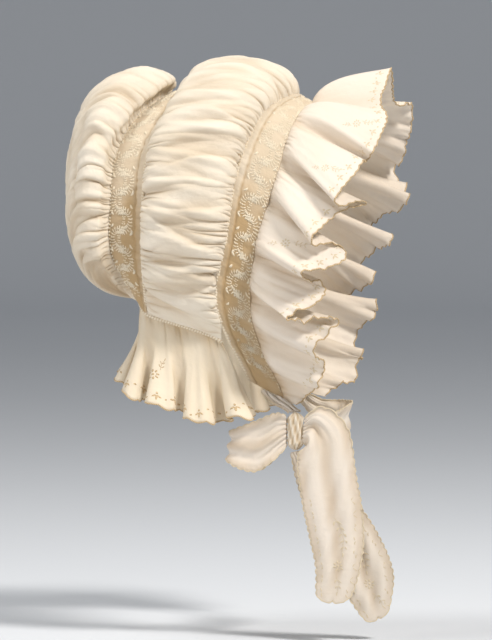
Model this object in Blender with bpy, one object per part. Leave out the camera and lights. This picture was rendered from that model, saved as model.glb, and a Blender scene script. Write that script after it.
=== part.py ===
"""A gathered cotton morning cap, modelled as worn.

It has two puffs, two embroidered bands, a face frill, a neck frill and ties.

X points to the face, Y to the wearer's left and Z up. The origin is where the top of the head meets the cap.
The tables below are in millimetres, and MM turns them into Blender's metres.
"""

import math

import bmesh
import bpy
import numpy as np

MM = 0.001

# Cloth thicknesses and the gap that neighbours keep
CLOTH_WALL = 1.0
BAND_WALL = 1.4
TIE_WALL = 1.0
PIPING_DIAMETER = 2.6
SEAM_GAP = 0.4

# How finely each piece is divided
SEAM_STEPS = 36
BAND_WIDTH_STEPS = 3
CROWN_FOLDS = 34
CROWN_WIDTH_STEPS = 6
BACK_FOLDS = 27
BACK_LENGTH_STEPS = 9
FACE_FRILL_STEPS = 4
NECK_FRILL_STEPS = 3
FRILL_DEPTH_STEPS = 3
TIE_WIDTH_STEPS = 4

# Half seams from the top of the head (first row) down the right side. Columns: x, distance from the middle, z
FRILL_SEAM = ((52, 0, -22.5), (46.5, 46, -36), (37.5, 70, -79), (24.5, 73, -125), (22, 64, -174), (42, 50, -226))
BAND_SEAM = ((41, 0, -15.5), (25, 42, -28.5), (12, 67, -66), (5.5, 76, -114), (-2.5, 69.5, -161), (18, 56, -213))
CROWN_BACK_SEAM = (
    (-35, 0, -8),
    (-40.5, 35, -24),
    (-52.8, 58, -54),
    (-55.2, 67.5, -92),
    (-56, 64.5, -132),
    (-56, 50, -164.5),
)
BACK_SEAM = (
    (-56, 0, -19),
    (-68, 31, -32),
    (-78.5, 50.5, -58),
    (-80.4, 59.6, -92),
    (-79.5, 57, -127),
    (-65, 43.5, -156.8),
)

# The crown puff's front edge leaves the band here, as a share of the band seam
CROWN_FRONT_REACH = 0.885

# Sections of the back puff, from the rear band to the nape; each is half an arch like the seams above
BACK_SECTIONS = (
    BACK_SEAM,
    ((-54.5, 0, -11), (-67.5, 34.5, -26), (-80.5, 56.5, -54), (-83, 65.5, -92), (-82, 61.5, -128), (-66.5, 43, -157)),
    ((-47, 0, -4), (-63, 37, -20), (-82, 60.5, -48), (-86, 70, -91), (-85, 65, -131), (-67.3, 41.5, -157.2)),
    ((-66, 0, 4.5), (-79, 40.5, -10), (-93.5, 60, -43), (-96, 69, -91), (-92, 62, -132), (-67.8, 39, -157.5)),
    ((-91, 0, -1), (-98, 36.5, -17), (-105, 53, -53), (-106, 59, -95), (-99, 53, -134), (-67.8, 36, -157.8)),
    ((-110, 0, -24), (-113, 29, -38), (-113.5, 43, -69), (-112, 47, -105), (-101, 42, -140), (-67.5, 33, -158)),
    ((-118.5, 0, -66), (-118.5, 22, -77), (-117, 32, -100), (-111.5, 35, -126), (-97, 33, -148), (-67, 29.5, -158)),
    ((-118.5, 0, -112), (-117, 15, -118), (-112.5, 23, -130), (-104, 26, -143), (-90, 26.5, -153), (-66.3, 26, -158)),
    ((-104, 0, -146.5), (-101.5, 9, -148), (-97, 14, -151), (-90, 18, -154), (-80, 20.5, -156.5), (-65.2, 23, -158.3)),
    ((-64, 0, -158), (-64, 4, -158), (-64, 8, -158), (-64, 12, -158), (-64, 16, -158), (-64, 20, -158)),
)

# The crown puff's height above its seams, from the top of the head to its lower end
CROWN_PUFF_HEIGHT = (23, 22, 18.5, 15.5, 12, 3)
CROWN_FOLD_HEIGHT = 4.2
BACK_FOLD_HEIGHT = 3.0
GATHER_HEIGHT = 0.8
FLUTE_BOW = 5
TOP_FLUTE_BOW = 9
# How far a flute's sides spread from its crest; the face frill's right side has broad crests in its table instead
FLUTE_ROUNDING = 5
RIGHT_ROUNDING = 1.5
PUFF_OVERHANG = 0.1

# Hems of the face frill's two sides, from the top of the head down. Columns: seam share, turn (even on a flute's
# crest, odd in a valley), x, distance from the middle, z
RIGHT_FRILL = (
    (0.000, 0, 106, 0, 2),
    (0.060, 1, 104, 30, -20),
    (0.105, 2, 112, 54, -33),
    (0.150, 2, 107, 72, -52),
    (0.192, 3, 101, 69, -60),
    (0.235, 4, 98, 86, -66),
    (0.285, 4, 86, 103, -87),
    (0.330, 5, 102, 82, -90),
    (0.365, 6, 82, 98, -99),
    (0.405, 6, 71, 109, -114),
    (0.447, 7, 85, 89, -118),
    (0.485, 8, 90, 95, -128),
    (0.525, 8, 78, 105, -133),
    (0.570, 8, 63, 112, -137),
    (0.605, 9, 74, 87, -145),
    (0.645, 10, 73, 95, -156),
    (0.680, 10, 52, 105, -168),
    (0.725, 11, 83, 86, -168),
    (0.770, 12, 69, 92, -190),
    (0.830, 13, 73, 75, -200),
    (0.890, 14, 69, 74, -213),
    (0.950, 15, 60, 60, -220),
    (1.000, 16, 50, 55, -229),
)
LEFT_FRILL = (
    (0.000, 0, 106, 0, 2),
    (0.065, 1, 104, 30, -21),
    (0.130, 2, 111, 62, -24),
    (0.200, 3, 103, 78, -56),
    (0.270, 4, 92, 106, -68),
    (0.335, 5, 104, 84, -90),
    (0.400, 6, 74, 112, -110),
    (0.455, 7, 92, 90, -118),
    (0.510, 8, 65, 112, -138),
    (0.560, 9, 78, 90, -146),
    (0.620, 10, 52, 105, -168),
    (0.700, 11, 82, 87, -166),
    (0.770, 12, 65, 91, -192),
    (0.830, 13, 73, 74, -200),
    (0.890, 14, 69, 74, -213),
    (0.950, 15, 60, 60, -220),
    (1.000, 16, 50, 55, -229),
)

# Neck frill seam from the middle of the back to its front end: x, distance from the middle, z
NECK_SEAM = (
    (-63, 0, -160.3),
    (-63.5, 22, -160.3),
    (-62.5, 41.5, -160.8),
    (-54.5, 51, -168.4),
    (-34, 56, -174.3),
    (-11, 61.5, -180.8),
    (0, 63, -186),
)
# Hem of each side of the neck frill, with the same columns
NECK_FRILL = (
    (0.00, 0, -85, 0, -210),
    (0.10, 1, -75, 16, -213),
    (0.20, 2, -79, 33, -214),
    (0.30, 3, -66, 42, -218),
    (0.40, 4, -68, 63, -222),
    (0.49, 5, -50, 58, -226),
    (0.58, 6, -42, 75, -230),
    (0.66, 7, -27, 65, -233),
    (0.75, 8, -14, 82, -240),
    (0.84, 9, 1, 70, -239),
    (0.93, 10, 14, 79, -238),
    (1.00, 11, 26, 68, -234),
)

# The knot lies on the right side of the neck
KNOT_CENTRE = (51, -61.5, -247)
KNOT_SIZE = (12, 12, 26)

# Ties. Columns: centreline x, y, z, half width, direction across the strip (x, y, z)
RIGHT_STRAP = (
    (32.5, -53.4, -222.3, 7.4, 0.86, 0.2, -0.45),
    (41, -55.8, -228, 5.5, 0.9, 0.1, -0.1),
    (46.5, -58.8, -231.2, 3.5, 0.97, 0.0, 0.1),
    (50.2, -61.3, -233.6, 4, 1.0, 0.0, 0.1),
)
LEFT_STRAP = (
    (32.2, 53.4, -222.5, 7.3, 0.86, -0.2, -0.45),
    (42.5, 51.8, -233.4, 6.6, 0.8, -0.1, 0.35),
    (62, 42, -243, 12, 0.3, 0.1, 1.0),
    (74, 18, -247, 16, 0.1, 0.0, 1.0),
    (76.5, -10, -249, 17, 0.1, 0.0, 1.0),
    (71, -36, -250, 14, 0.1, 0.1, 1.0),
    (57.9, -58.0, -248, 8, 0.2, 0.2, 1.0),
)
TIE_LOOP = (
    (44.8, -64, -247, 10, 0.0, 0.0, 1.0),
    (36, -67, -251.5, 16, 0.1, 0.0, 1.0),
    (25, -67, -257, 17, 0.1, 0.0, 1.0),
    (12, -65, -258, 13, 0.15, 0.0, 1.0),
    (4, -59.5, -257.5, 9, 0.15, 0.0, 1.0),
    (12, -54, -258, 12, 0.1, 0.0, 1.0),
    (25, -53.5, -258, 16, 0.1, 0.0, 1.0),
    (36, -55, -253, 13, 0.1, 0.0, 1.0),
    (44.4, -59.2, -248, 8, 0.0, 0.0, 1.0),
)
RIGHT_TAIL = (
    (57.0, -64.3, -246, 8, 0.1, 0.0, 1.0),
    (65, -67, -243.5, 14, 0.4, 0.05, 0.92),
    (71.5, -68, -254, 18, 0.9, 0.1, 0.42),
    (73.8, -68, -275, 18.7, 1.0, 0.1, 0.08),
    (77.5, -68, -297, 19, 1.0, 0.1, 0.05),
    (80.6, -67, -320, 17.5, 1.0, 0.1, 0.0),
    (81, -66, -342, 14, 1.0, 0.05, -0.05),
    (77.5, -65, -363, 11, 1.0, 0.0, -0.05),
)
LEFT_TAIL = (
    (52.8, -61.3, -260.6, 5, 0.9, 0.1, 0.2),
    (64, -60.5, -277, 12, 0.95, 0.15, 0.2),
    (76, -58, -300, 16.5, 0.95, 0.2, 0.25),
    (90, -53, -326, 18, 0.9, 0.3, 0.3),
    (100, -46.5, -352, 17, 0.9, 0.35, 0.35),
    (105, -42, -376, 8, 0.85, 0.35, 0.4),
)
TIE_LENGTH_STEPS = 16
TIE_FOLD_HEIGHT = 1.6

# Colour, roughness of each material
MULL = ("cotton_mull", (0.90, 0.85, 0.75), 0.9)
EMBROIDERY = ("embroidered_mull", (0.86, 0.79, 0.66), 0.92)
PIPING = ("corded_piping", (0.90, 0.84, 0.72), 0.85)


def spline(rows, share):
    """A smooth curve through evenly spaced rows, read at shares of its length from 0 to 1."""
    rows = np.asarray(rows, float)
    share = np.asarray(share, float)
    last = len(rows) - 1
    place = np.clip(share, 0, 1) * last
    index = np.minimum(place.astype(int), last - 1)
    u = (place - index).reshape(share.shape + (1,) * (rows.ndim - 1))
    padded = np.concatenate([[2 * rows[0] - rows[1]], rows, [2 * rows[-1] - rows[-2]]])
    before, start, end, after = (padded[index + step] for step in range(4))
    return 0.5 * (
        2 * start
        + (end - before) * u
        + (2 * before - 5 * start + 4 * end - after) * u**2
        + (3 * start - before - 3 * end + after) * u**3
    )


def arch(half, across):
    """Points of an arch over the head: across runs from -1 (right end) through 0 (top) to 1 (left end)."""
    half = np.asarray(half, float)
    mirrored = half[:0:-1] * (1, -1, 1)
    return spline(np.concatenate([mirrored, half]), (np.asarray(across) + 1) / 2)


def hem_side(table, steps):
    """Stations from 0 to 1 down one side of a frill, with the hem's points and turns there."""
    table = np.asarray(table, float)
    row = np.arange(len(table))
    step = np.linspace(0, row[-1], row[-1] * steps + 1)
    return np.interp(step, row, table[:, 0]), spline(table[:, 2:], step / row[-1]), np.interp(step, row, table[:, 1])


def unit(vectors):
    """Vectors scaled to length one."""
    return vectors / np.maximum(np.linalg.norm(vectors, axis=-1, keepdims=True), 1e-9)


def surface_normals(grid):
    """Normals of a grid of points, pointing away from the middle of the head."""
    normals = unit(np.cross(np.gradient(grid, axis=0), np.gradient(grid, axis=1)))
    middle = np.array((0.0, 0.0, -100.0))
    outward = np.sign(np.sum(normals * (grid - middle), axis=-1, keepdims=True).mean())
    return normals * outward


def fold_stations(folds):
    """Unevenly spaced places of crests and valleys from -1 to 1, two for each fold."""
    step = np.arange(2 * folds)
    widths = 1 + 0.33 * np.sin(1.9 * step) + 0.22 * np.sin(4.7 * step + 1)
    return np.concatenate([[0], np.cumsum(widths)]) / widths.sum() * 2 - 1


def fold_heights(stations, height, swing):
    """Heights of alternate crests and valleys, uneven as hand-drawn gathers are; swing sets their pattern."""
    step = np.arange(len(stations))
    uneven = 0.72 + 0.3 * np.sin(swing * step + 0.5) + 0.22 * np.sin(1.7 * swing * step + 2)
    return height * np.where(step % 2 == 0, -0.75, 1.0) * uneven


def material(name, colour, roughness):
    """A plain matt cotton material."""
    made = bpy.data.materials.get(name) or bpy.data.materials.new(name)
    made.use_nodes = True
    shader = made.node_tree.nodes["Principled BSDF"]
    shader.inputs["Base Color"].default_value = (*colour, 1)
    shader.inputs["Roughness"].default_value = roughness
    return made


def add_object(name, data, finish):
    """Links a mesh or curve to the scene with its material."""
    made = bpy.data.objects.new(name, data)
    bpy.context.scene.collection.objects.link(made)
    data.materials.append(material(*finish))
    return made


def cloth(name, grid, wall, finish):
    """A sheet of cloth through a grid of points in millimetres, given its wall by a Solidify modifier."""
    rows, columns = grid.shape[:2]
    bm = bmesh.new()
    bmesh.ops.create_grid(bm, x_segments=columns - 1, y_segments=rows - 1, size=1)
    bm.verts.ensure_lookup_table()
    for vert, point in zip(bm.verts, grid.reshape(-1, 3) * MM):
        vert.co = point
    mesh = bpy.data.meshes.new(name)
    bm.to_mesh(mesh)
    bm.free()
    mesh.shade_smooth()
    made = add_object(name, mesh, finish)
    shell = made.modifiers.new("wall", "SOLIDIFY")
    shell.thickness = wall * MM
    shell.offset = 0
    return made


def cord(name, points, diameter, finish):
    """A round cord along points in millimetres."""
    curve = bpy.data.curves.new(name, "CURVE")
    curve.dimensions = "3D"
    curve.bevel_depth = diameter / 2 * MM
    curve.bevel_resolution = 1
    curve.use_fill_caps = True
    line = curve.splines.new("POLY")
    line.points.add(len(points) - 1)
    for point, place in zip(line.points, points * MM):
        point.co = (*place, 1)
    return add_object(name, curve, finish)


def narrowed(front, back, front_gap, back_gap, steps):
    """Points from the front seam to the back seam, kept clear of each seam by its gap."""
    way = back - front
    width = np.linalg.norm(way, axis=-1, keepdims=True)

    def share_for(gap, seam):
        along = unit(np.gradient(seam, axis=0))
        slant = np.linalg.norm(np.cross(along, way / width), axis=-1, keepdims=True)
        return gap / slant / width

    start, end = share_for(front_gap, front), 1 - share_for(back_gap, back)
    share = np.linspace(0, 1, steps + 1)
    inside = start[:, None] + (end - start)[:, None] * share[None, :, None]
    return front[:, None] + way[:, None] * inside


def band(name, front_half, back_half, front_gap, back_gap):
    """A flat embroidered band between two seams."""
    across = np.linspace(-1, 1, SEAM_STEPS + 1)
    grid = narrowed(arch(front_half, across), arch(back_half, across), front_gap, back_gap, BAND_WIDTH_STEPS)
    return cloth(name, grid, BAND_WALL, EMBROIDERY)


def piping(name, half):
    """A corded piping along a seam."""
    return cord(name, arch(half, np.linspace(-1, 1, SEAM_STEPS + 1)), PIPING_DIAMETER, PIPING)


def crown_puff():
    """The puff over the head, gathered into a piping on each side."""
    stations = fold_stations(CROWN_FOLDS)
    clear = PIPING_DIAMETER / 2 + 3 * SEAM_GAP
    front = arch(BAND_SEAM, stations * CROWN_FRONT_REACH)
    flat = narrowed(front, arch(CROWN_BACK_SEAM, stations), clear, clear, CROWN_WIDTH_STEPS)
    height = spline(np.array(CROWN_PUFF_HEIGHT, float)[:, None], np.abs(stations))
    # The puff's section is a rounded arch that leans out over both seams where it is high
    turn = np.linspace(0, math.pi, CROWN_WIDTH_STEPS + 1)
    share = np.linspace(0, 1, CROWN_WIDTH_STEPS + 1)
    overhang = PUFF_OVERHANG * height / max(CROWN_PUFF_HEIGHT)
    lean = 0.5 - 0.5 * np.cos(turn) * (1 + overhang * np.sin(turn))
    grid = flat[:, :1] + (flat[:, -1:] - flat[:, :1]) * lean[..., None]
    # The folds from one seam fade into those from the other
    folds = (
        fold_heights(stations, CROWN_FOLD_HEIGHT, 2.7)[:, None] * (1 - share)
        + fold_heights(stations, CROWN_FOLD_HEIGHT, 4.1)[:, None] * share
    )
    slack = GATHER_HEIGHT / CROWN_FOLD_HEIGHT + (1 - GATHER_HEIGHT / CROWN_FOLD_HEIGHT) * np.sin(math.pi * share)
    fade = np.clip((1 - np.abs(stations)) * 8, 0.2, 1)
    lift = height * np.sin(turn) + folds * fade[:, None] * slack
    return cloth("crown_puff", grid + surface_normals(flat) * lift[..., None], CLOTH_WALL, MULL)


def back_puff():
    """The puff that holds the hair, gathered to the rear band and drawn in at the nape."""
    stations = fold_stations(BACK_FOLDS)
    share = np.linspace(0, 1, BACK_LENGTH_STEPS + 1)
    sections = np.stack([arch(half, stations) for half in BACK_SECTIONS])
    grid = spline(sections, share).transpose(1, 0, 2)
    swell = np.sin(math.pi * np.clip(share * 1.3 - 0.1, 0, 1))
    folds = fold_heights(stations, BACK_FOLD_HEIGHT, 2.7) * np.clip((1 - np.abs(stations)) * 6, 0.1, 1)
    gathers = GATHER_HEIGHT / BACK_FOLD_HEIGHT * (1 - share) ** 2
    grid = grid + surface_normals(grid) * (folds[:, None] * np.maximum(swell, gathers))[..., None]
    # The front edge stands clear of the rear band
    away = unit(grid[:, 0] - arch(CROWN_BACK_SEAM, stations))
    grid[:, 0] += away * (SEAM_GAP + CLOTH_WALL / 2 + 0.4)
    return cloth("back_puff", grid, CLOTH_WALL, MULL)


def frill(name, seam, right_table, left_table, steps, first, top_bow, right_rounding):
    """A fluted frill from just below its seam to the hems that its tables give."""
    right, left = hem_side(right_table, steps), hem_side(left_table, steps)
    stations = np.concatenate([-right[0][:0:-1], left[0]])
    hem = np.concatenate([right[1][:0:-1] * (1, -1, 1), left[1]])
    base = arch(seam, stations)
    # Each flute's crest is rounded wide and each valley drawn narrow
    turns = math.pi * np.concatenate([right[2][:0:-1], left[2]])
    along = unit(np.gradient(base, axis=0))
    way = hem - base
    depth = np.linalg.norm(way, axis=1, keepdims=True)
    size = np.minimum(depth / 50, 1)
    spread = np.where(stations < 0, -right_rounding, FLUTE_ROUNDING)
    rounding = (spread * (0.6 * np.sin(turns) + 0.5 * np.sin(2 * turns)))[:, None] * size
    # Crests bow outward between seam and hem, valleys the other way
    slant = np.linalg.norm(np.cross(along, way / depth), axis=1, keepdims=True)
    bow = np.interp(np.abs(stations), (0, 0.25), (top_bow, FLUTE_BOW)) * (0.4 + 0.6 * np.cos(turns))
    bow = bow[:, None] * size * unit(np.cross(way, along))
    share = np.linspace(0, 1, FRILL_DEPTH_STEPS + 1)[None, :, None]
    reach = (first / slant / depth)[:, None] * (1 - share) + share
    grid = base[:, None] + (way + along * rounding)[:, None] * reach + bow[:, None] * np.sin(math.pi * share**0.65)
    return cloth(name, grid, CLOTH_WALL, MULL)


def tie(name, rows, length_steps):
    """A strip of cloth along a table's centreline, with soft lengthwise folds."""
    columns = spline(rows, np.linspace(0, 1, length_steps + 1))
    centre, half_width, across = columns[:, :3], columns[:, 3], unit(columns[:, 4:])
    normal = unit(np.cross(np.gradient(centre, axis=0), across))
    share = np.linspace(-1, 1, TIE_WIDTH_STEPS + 1)
    fold = TIE_FOLD_HEIGHT * np.where(np.arange(TIE_WIDTH_STEPS + 1) % 2, 1, -1)
    flat = np.clip(2.5 * np.sin(math.pi * np.linspace(0, 1, length_steps + 1)), 0.1, 1)
    grid = centre[:, None] + across[:, None] * (half_width[:, None] * share)[..., None]
    return cloth(name, grid + normal[:, None] * (fold * flat[:, None])[..., None], TIE_WALL, MULL)


def tie_knot():
    """The knot, a squeezed ball with the wraps of the ties across it."""
    bm = bmesh.new()
    bmesh.ops.create_uvsphere(bm, u_segments=12, v_segments=8, radius=0.5)
    for vert in bm.verts:
        turn = math.atan2(vert.co.y, vert.co.x)
        wrap = 1 + 0.07 * math.cos(4 * turn + 9 * vert.co.z)
        vert.co = [
            (place + size * wrap * part) * MM for place, size, part in zip(KNOT_CENTRE, KNOT_SIZE, vert.co)
        ]
    mesh = bpy.data.meshes.new("tie_knot")
    bm.to_mesh(mesh)
    bm.free()
    mesh.shade_smooth()
    return add_object("tie_knot", mesh, MULL)


def main():
    """Builds every piece of the cap."""
    for left in list(bpy.data.objects):
        bpy.data.objects.remove(left)
    beside_piping = PIPING_DIAMETER / 2 + SEAM_GAP
    band("front_band", FRILL_SEAM, BAND_SEAM, SEAM_GAP, beside_piping)
    band("rear_band", CROWN_BACK_SEAM, BACK_SEAM, beside_piping, 4 * SEAM_GAP)
    piping("front_piping", BAND_SEAM)
    piping("rear_piping", CROWN_BACK_SEAM)
    crown_puff()
    back_puff()
    frill("face_frill", FRILL_SEAM, RIGHT_FRILL, LEFT_FRILL, FACE_FRILL_STEPS, 1.2, TOP_FLUTE_BOW, RIGHT_ROUNDING)
    frill("neck_frill", NECK_SEAM, NECK_FRILL, NECK_FRILL, NECK_FRILL_STEPS, 2.3, FLUTE_BOW, FLUTE_ROUNDING)
    piping("nape_binding", NECK_SEAM)
    tie("right_strap", RIGHT_STRAP, 6)
    tie("left_strap", LEFT_STRAP, TIE_LENGTH_STEPS)
    tie("tie_loop", TIE_LOOP, TIE_LENGTH_STEPS + 6)
    tie("right_tail", RIGHT_TAIL, TIE_LENGTH_STEPS)
    tie("left_tail", LEFT_TAIL, TIE_LENGTH_STEPS)
    tie_knot()


main()
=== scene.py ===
"""Looks of a gathered cotton morning cap: puffs, embroidered bands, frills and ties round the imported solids.

X points to the face, Y to the wearer's left and Z up. Tables are in millimetres and MM turns them into metres.
"""

from __future__ import annotations

import logging
import math
from collections.abc import Sequence
from dataclasses import dataclass, field, replace
from enum import Enum

import bmesh
import bpy
import numpy as np
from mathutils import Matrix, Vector


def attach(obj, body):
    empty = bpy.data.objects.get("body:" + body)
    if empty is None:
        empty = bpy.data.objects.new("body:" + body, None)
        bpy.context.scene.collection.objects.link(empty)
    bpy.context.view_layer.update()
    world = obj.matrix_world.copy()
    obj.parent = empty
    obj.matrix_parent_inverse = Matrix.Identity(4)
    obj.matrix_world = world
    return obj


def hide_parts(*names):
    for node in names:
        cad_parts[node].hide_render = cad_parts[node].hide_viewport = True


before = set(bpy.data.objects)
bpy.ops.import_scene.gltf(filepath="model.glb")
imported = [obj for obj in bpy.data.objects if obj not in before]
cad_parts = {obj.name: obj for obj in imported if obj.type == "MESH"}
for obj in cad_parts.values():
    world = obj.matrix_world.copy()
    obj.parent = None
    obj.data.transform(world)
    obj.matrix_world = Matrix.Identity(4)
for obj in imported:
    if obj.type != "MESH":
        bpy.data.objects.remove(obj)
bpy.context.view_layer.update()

MM = 0.001
TAU = 2 * math.pi
LOG = logging.getLogger("morning_cap")
HEAD_MIDDLE = np.array((0.0, 0.0, -100.0))
PIPING_DIAMETER = 2.6
# Rows over which a cord's end closes to a point
CLOSING_ROWS = 3
# Depth of a frill from which its flutes have their full size
FULL_DEPTH = 50
# Rows further than this from a crease or a hollow aren't touched by it
CREASE_SPAN = 60

Table = Sequence[Sequence[float]]
Colour = tuple[float, float, float]
Material = bpy.types.Material

# Half seams from the top of the head down the side. Columns: x, distance from the middle, z
FRILL_SEAM = ((52, 0, -22.5), (46.5, 46, -36), (37.5, 70, -79), (24.5, 73, -125), (22, 64, -174), (42, 50, -226))
BAND_SEAM = ((41, 0, -15.5), (25, 42, -28.5), (12, 67, -66), (5.5, 76, -114), (-2.5, 69.5, -161), (18, 56, -213))
CROWN_BACK_SEAM = (
    (-35, 0, -8),
    (-40.5, 35, -24),
    (-52.8, 58, -54),
    (-55.2, 67.5, -92),
    (-56, 64.5, -132),
    (-56, 50, -164.5),
)
BACK_SEAM = (
    (-56, 0, -19),
    (-68, 31, -32),
    (-78.5, 50.5, -58),
    (-80.4, 59.6, -92),
    (-79.5, 57, -127),
    (-65, 43.5, -156.8),
)
NECK_SEAM = (
    (-63, 0, -160.3),
    (-63.5, 22, -160.3),
    (-62.5, 41.5, -160.8),
    (-54.5, 51, -168.4),
    (-34, 56, -174.3),
    (-11, 61.5, -180.8),
    (0, 63, -186),
)
# Places along half the nape seam where the corners of the puffs and the rear band end
BACK_PUFF_PLACE, BACK_SEAM_PLACE, CROWN_SEAM_PLACE = 0.15, 0.36, 0.49
# Share of the front seam that the crown puff is sewn to, and its height from the top of the head down
CROWN_FRONT_REACH = 0.885
CROWN_PUFF_HEIGHT = (23, 22, 18.5, 15.5, 12, 3)

# Sections of the back puff, from the rear band to the nape; each is half an arch like the seams above
BACK_SECTIONS = (
    BACK_SEAM,
    ((-54.5, 0, -11), (-67.5, 34.5, -26), (-80.5, 56.5, -54), (-83, 65.5, -92), (-82, 61.5, -128), (-66.5, 43, -157)),
    ((-47, 0, -4), (-63, 37, -20), (-82, 60.5, -48), (-86, 70, -91), (-85, 65, -131), (-67.3, 41.5, -157.2)),
    ((-66, 0, 4.5), (-79, 40.5, -10), (-93.5, 60, -43), (-96, 69, -91), (-92, 62, -132), (-67.8, 39, -157.5)),
    ((-91, 0, -1), (-98, 36.5, -17), (-105, 53, -53), (-106, 59, -95), (-99, 53, -134), (-67.8, 36, -157.8)),
    ((-110, 0, -24), (-113, 29, -38), (-113.5, 43, -69), (-112, 47, -105), (-101, 42, -140), (-67.5, 33, -158)),
    ((-118.5, 0, -66), (-118.5, 22, -77), (-117, 32, -100), (-111.5, 35, -126), (-97, 33, -148), (-67, 29.5, -158)),
    ((-118.5, 0, -112), (-117, 15, -118), (-112.5, 23, -130), (-104, 26, -143), (-90, 26.5, -153), (-66.3, 26, -158)),
    ((-104, 0, -146.5), (-101.5, 9, -148), (-97, 14, -151), (-90, 18, -154), (-80, 20.5, -156.5), (-65.2, 23, -158.3)),
    ((-64, 0, -158), (-64, 4, -158), (-64, 8, -158), (-64, 12, -158), (-64, 16, -158), (-64, 20, -158)),
)

# Hems from the top down. Columns: seam share, turn (even on a flute's crest, odd in a valley), x, distance from the
# middle, z
RIGHT_FRILL_HEM = (
    (0.000, 0, 106, 0, 2),
    (0.060, 1, 104, 30, -20),
    (0.105, 2, 112, 54, -33),
    (0.150, 2, 107, 72, -52),
    (0.192, 3, 101, 69, -60),
    (0.235, 4, 98, 86, -66),
    (0.285, 4, 86, 103, -87),
    (0.330, 5, 102, 82, -90),
    (0.365, 6, 82, 98, -99),
    (0.405, 6, 71, 109, -114),
    (0.447, 7, 85, 89, -118),
    (0.485, 8, 90, 95, -128),
    (0.525, 8, 78, 105, -133),
    (0.570, 8, 63, 112, -137),
    (0.605, 9, 74, 87, -145),
    (0.645, 10, 73, 95, -156),
    (0.680, 10, 52, 105, -168),
    (0.725, 11, 83, 86, -168),
    (0.770, 12, 69, 92, -190),
    (0.830, 13, 73, 75, -200),
    (0.890, 14, 69, 74, -213),
    (0.950, 15, 60, 60, -220),
    (1.000, 16, 50, 55, -229),
)
LEFT_FRILL_HEM = (
    (0.000, 0, 106, 0, 2),
    (0.065, 1, 104, 30, -21),
    (0.130, 2, 111, 62, -24),
    (0.200, 3, 103, 78, -56),
    (0.270, 4, 92, 106, -68),
    (0.335, 5, 104, 84, -90),
    (0.400, 6, 74, 112, -110),
    (0.455, 7, 92, 90, -118),
    (0.510, 8, 65, 112, -138),
    (0.560, 9, 78, 90, -146),
    (0.620, 10, 52, 105, -168),
    (0.700, 11, 82, 87, -166),
    (0.770, 12, 65, 91, -192),
    (0.830, 13, 73, 74, -200),
    (0.890, 14, 69, 74, -213),
    (0.950, 15, 60, 60, -220),
    (1.000, 16, 50, 55, -229),
)
NECK_FRILL_HEM = (
    (0.00, 0, -85, 0, -210),
    (0.10, 1, -75, 16, -213),
    (0.20, 2, -79, 33, -214),
    (0.30, 3, -66, 42, -218),
    (0.40, 4, -68, 63, -222),
    (0.49, 5, -50, 58, -226),
    (0.58, 6, -42, 75, -230),
    (0.66, 7, -27, 65, -233),
    (0.75, 8, -14, 82, -240),
    (0.84, 9, 1, 70, -239),
    (0.93, 10, 14, 79, -238),
    (1.00, 11, 26, 68, -234),
)

# Ties. Columns: centreline x, y, z, half width, direction across the strip (x, y, z)
RIGHT_STRAP = (
    (32.5, -53.4, -222.3, 7.4, 0.86, 0.2, -0.45),
    (41, -55.8, -228, 5.5, 0.9, 0.1, -0.1),
    (46.5, -58.8, -231.2, 3.5, 0.97, 0.0, 0.1),
    (50.2, -61.3, -233.6, 4, 1.0, 0.0, 0.1),
)
LEFT_STRAP = (
    (32.2, 53.4, -222.5, 7.3, 0.86, -0.2, -0.45),
    (42.5, 51.8, -233.4, 6.6, 0.8, -0.1, 0.35),
    (62, 42, -243, 12, 0.3, 0.1, 1.0),
    (74, 18, -247, 16, 0.1, 0.0, 1.0),
    (76.5, -10, -249, 17, 0.1, 0.0, 1.0),
    (71, -36, -250, 14, 0.1, 0.1, 1.0),
    (57.9, -58.0, -248, 8, 0.2, 0.2, 1.0),
)
TIE_LOOP = (
    (44.8, -64, -247, 10, 0.0, 0.0, 1.0),
    (36, -67, -251.5, 16, 0.1, 0.0, 1.0),
    (25, -67, -257, 17, 0.1, 0.0, 1.0),
    (12, -65, -258, 13, 0.15, 0.0, 1.0),
    (4, -59.5, -257.5, 9, 0.15, 0.0, 1.0),
    (12, -54, -258, 12, 0.1, 0.0, 1.0),
    (25, -53.5, -258, 16, 0.1, 0.0, 1.0),
    (36, -55, -253, 13, 0.1, 0.0, 1.0),
    (44.4, -59.2, -248, 8, 0.0, 0.0, 1.0),
)
RIGHT_TAIL = (
    (57.0, -64.3, -246, 8, 0.1, 0.0, 1.0),
    (65, -67, -243.5, 14, 0.4, 0.05, 0.92),
    (71.5, -68, -254, 18, 0.9, 0.1, 0.42),
    (73.8, -68, -275, 18.7, 1.0, 0.1, 0.08),
    (77.5, -68, -297, 19, 1.0, 0.1, 0.05),
    (80.6, -67, -320, 17.5, 1.0, 0.1, 0.0),
    (81, -66, -342, 14, 1.0, 0.05, -0.05),
    (77.5, -65, -363, 11, 1.0, 0.0, -0.05),
)
LEFT_TAIL = (
    (52.8, -61.3, -260.6, 5, 0.9, 0.1, 0.2),
    (64, -60.5, -277, 12, 0.95, 0.15, 0.2),
    (76, -58, -300, 16.5, 0.95, 0.2, 0.25),
    (90, -53, -326, 18, 0.9, 0.3, 0.3),
    (100, -46.5, -352, 17, 0.9, 0.35, 0.35),
    (105, -42, -376, 8, 0.85, 0.35, 0.4),
)


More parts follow.
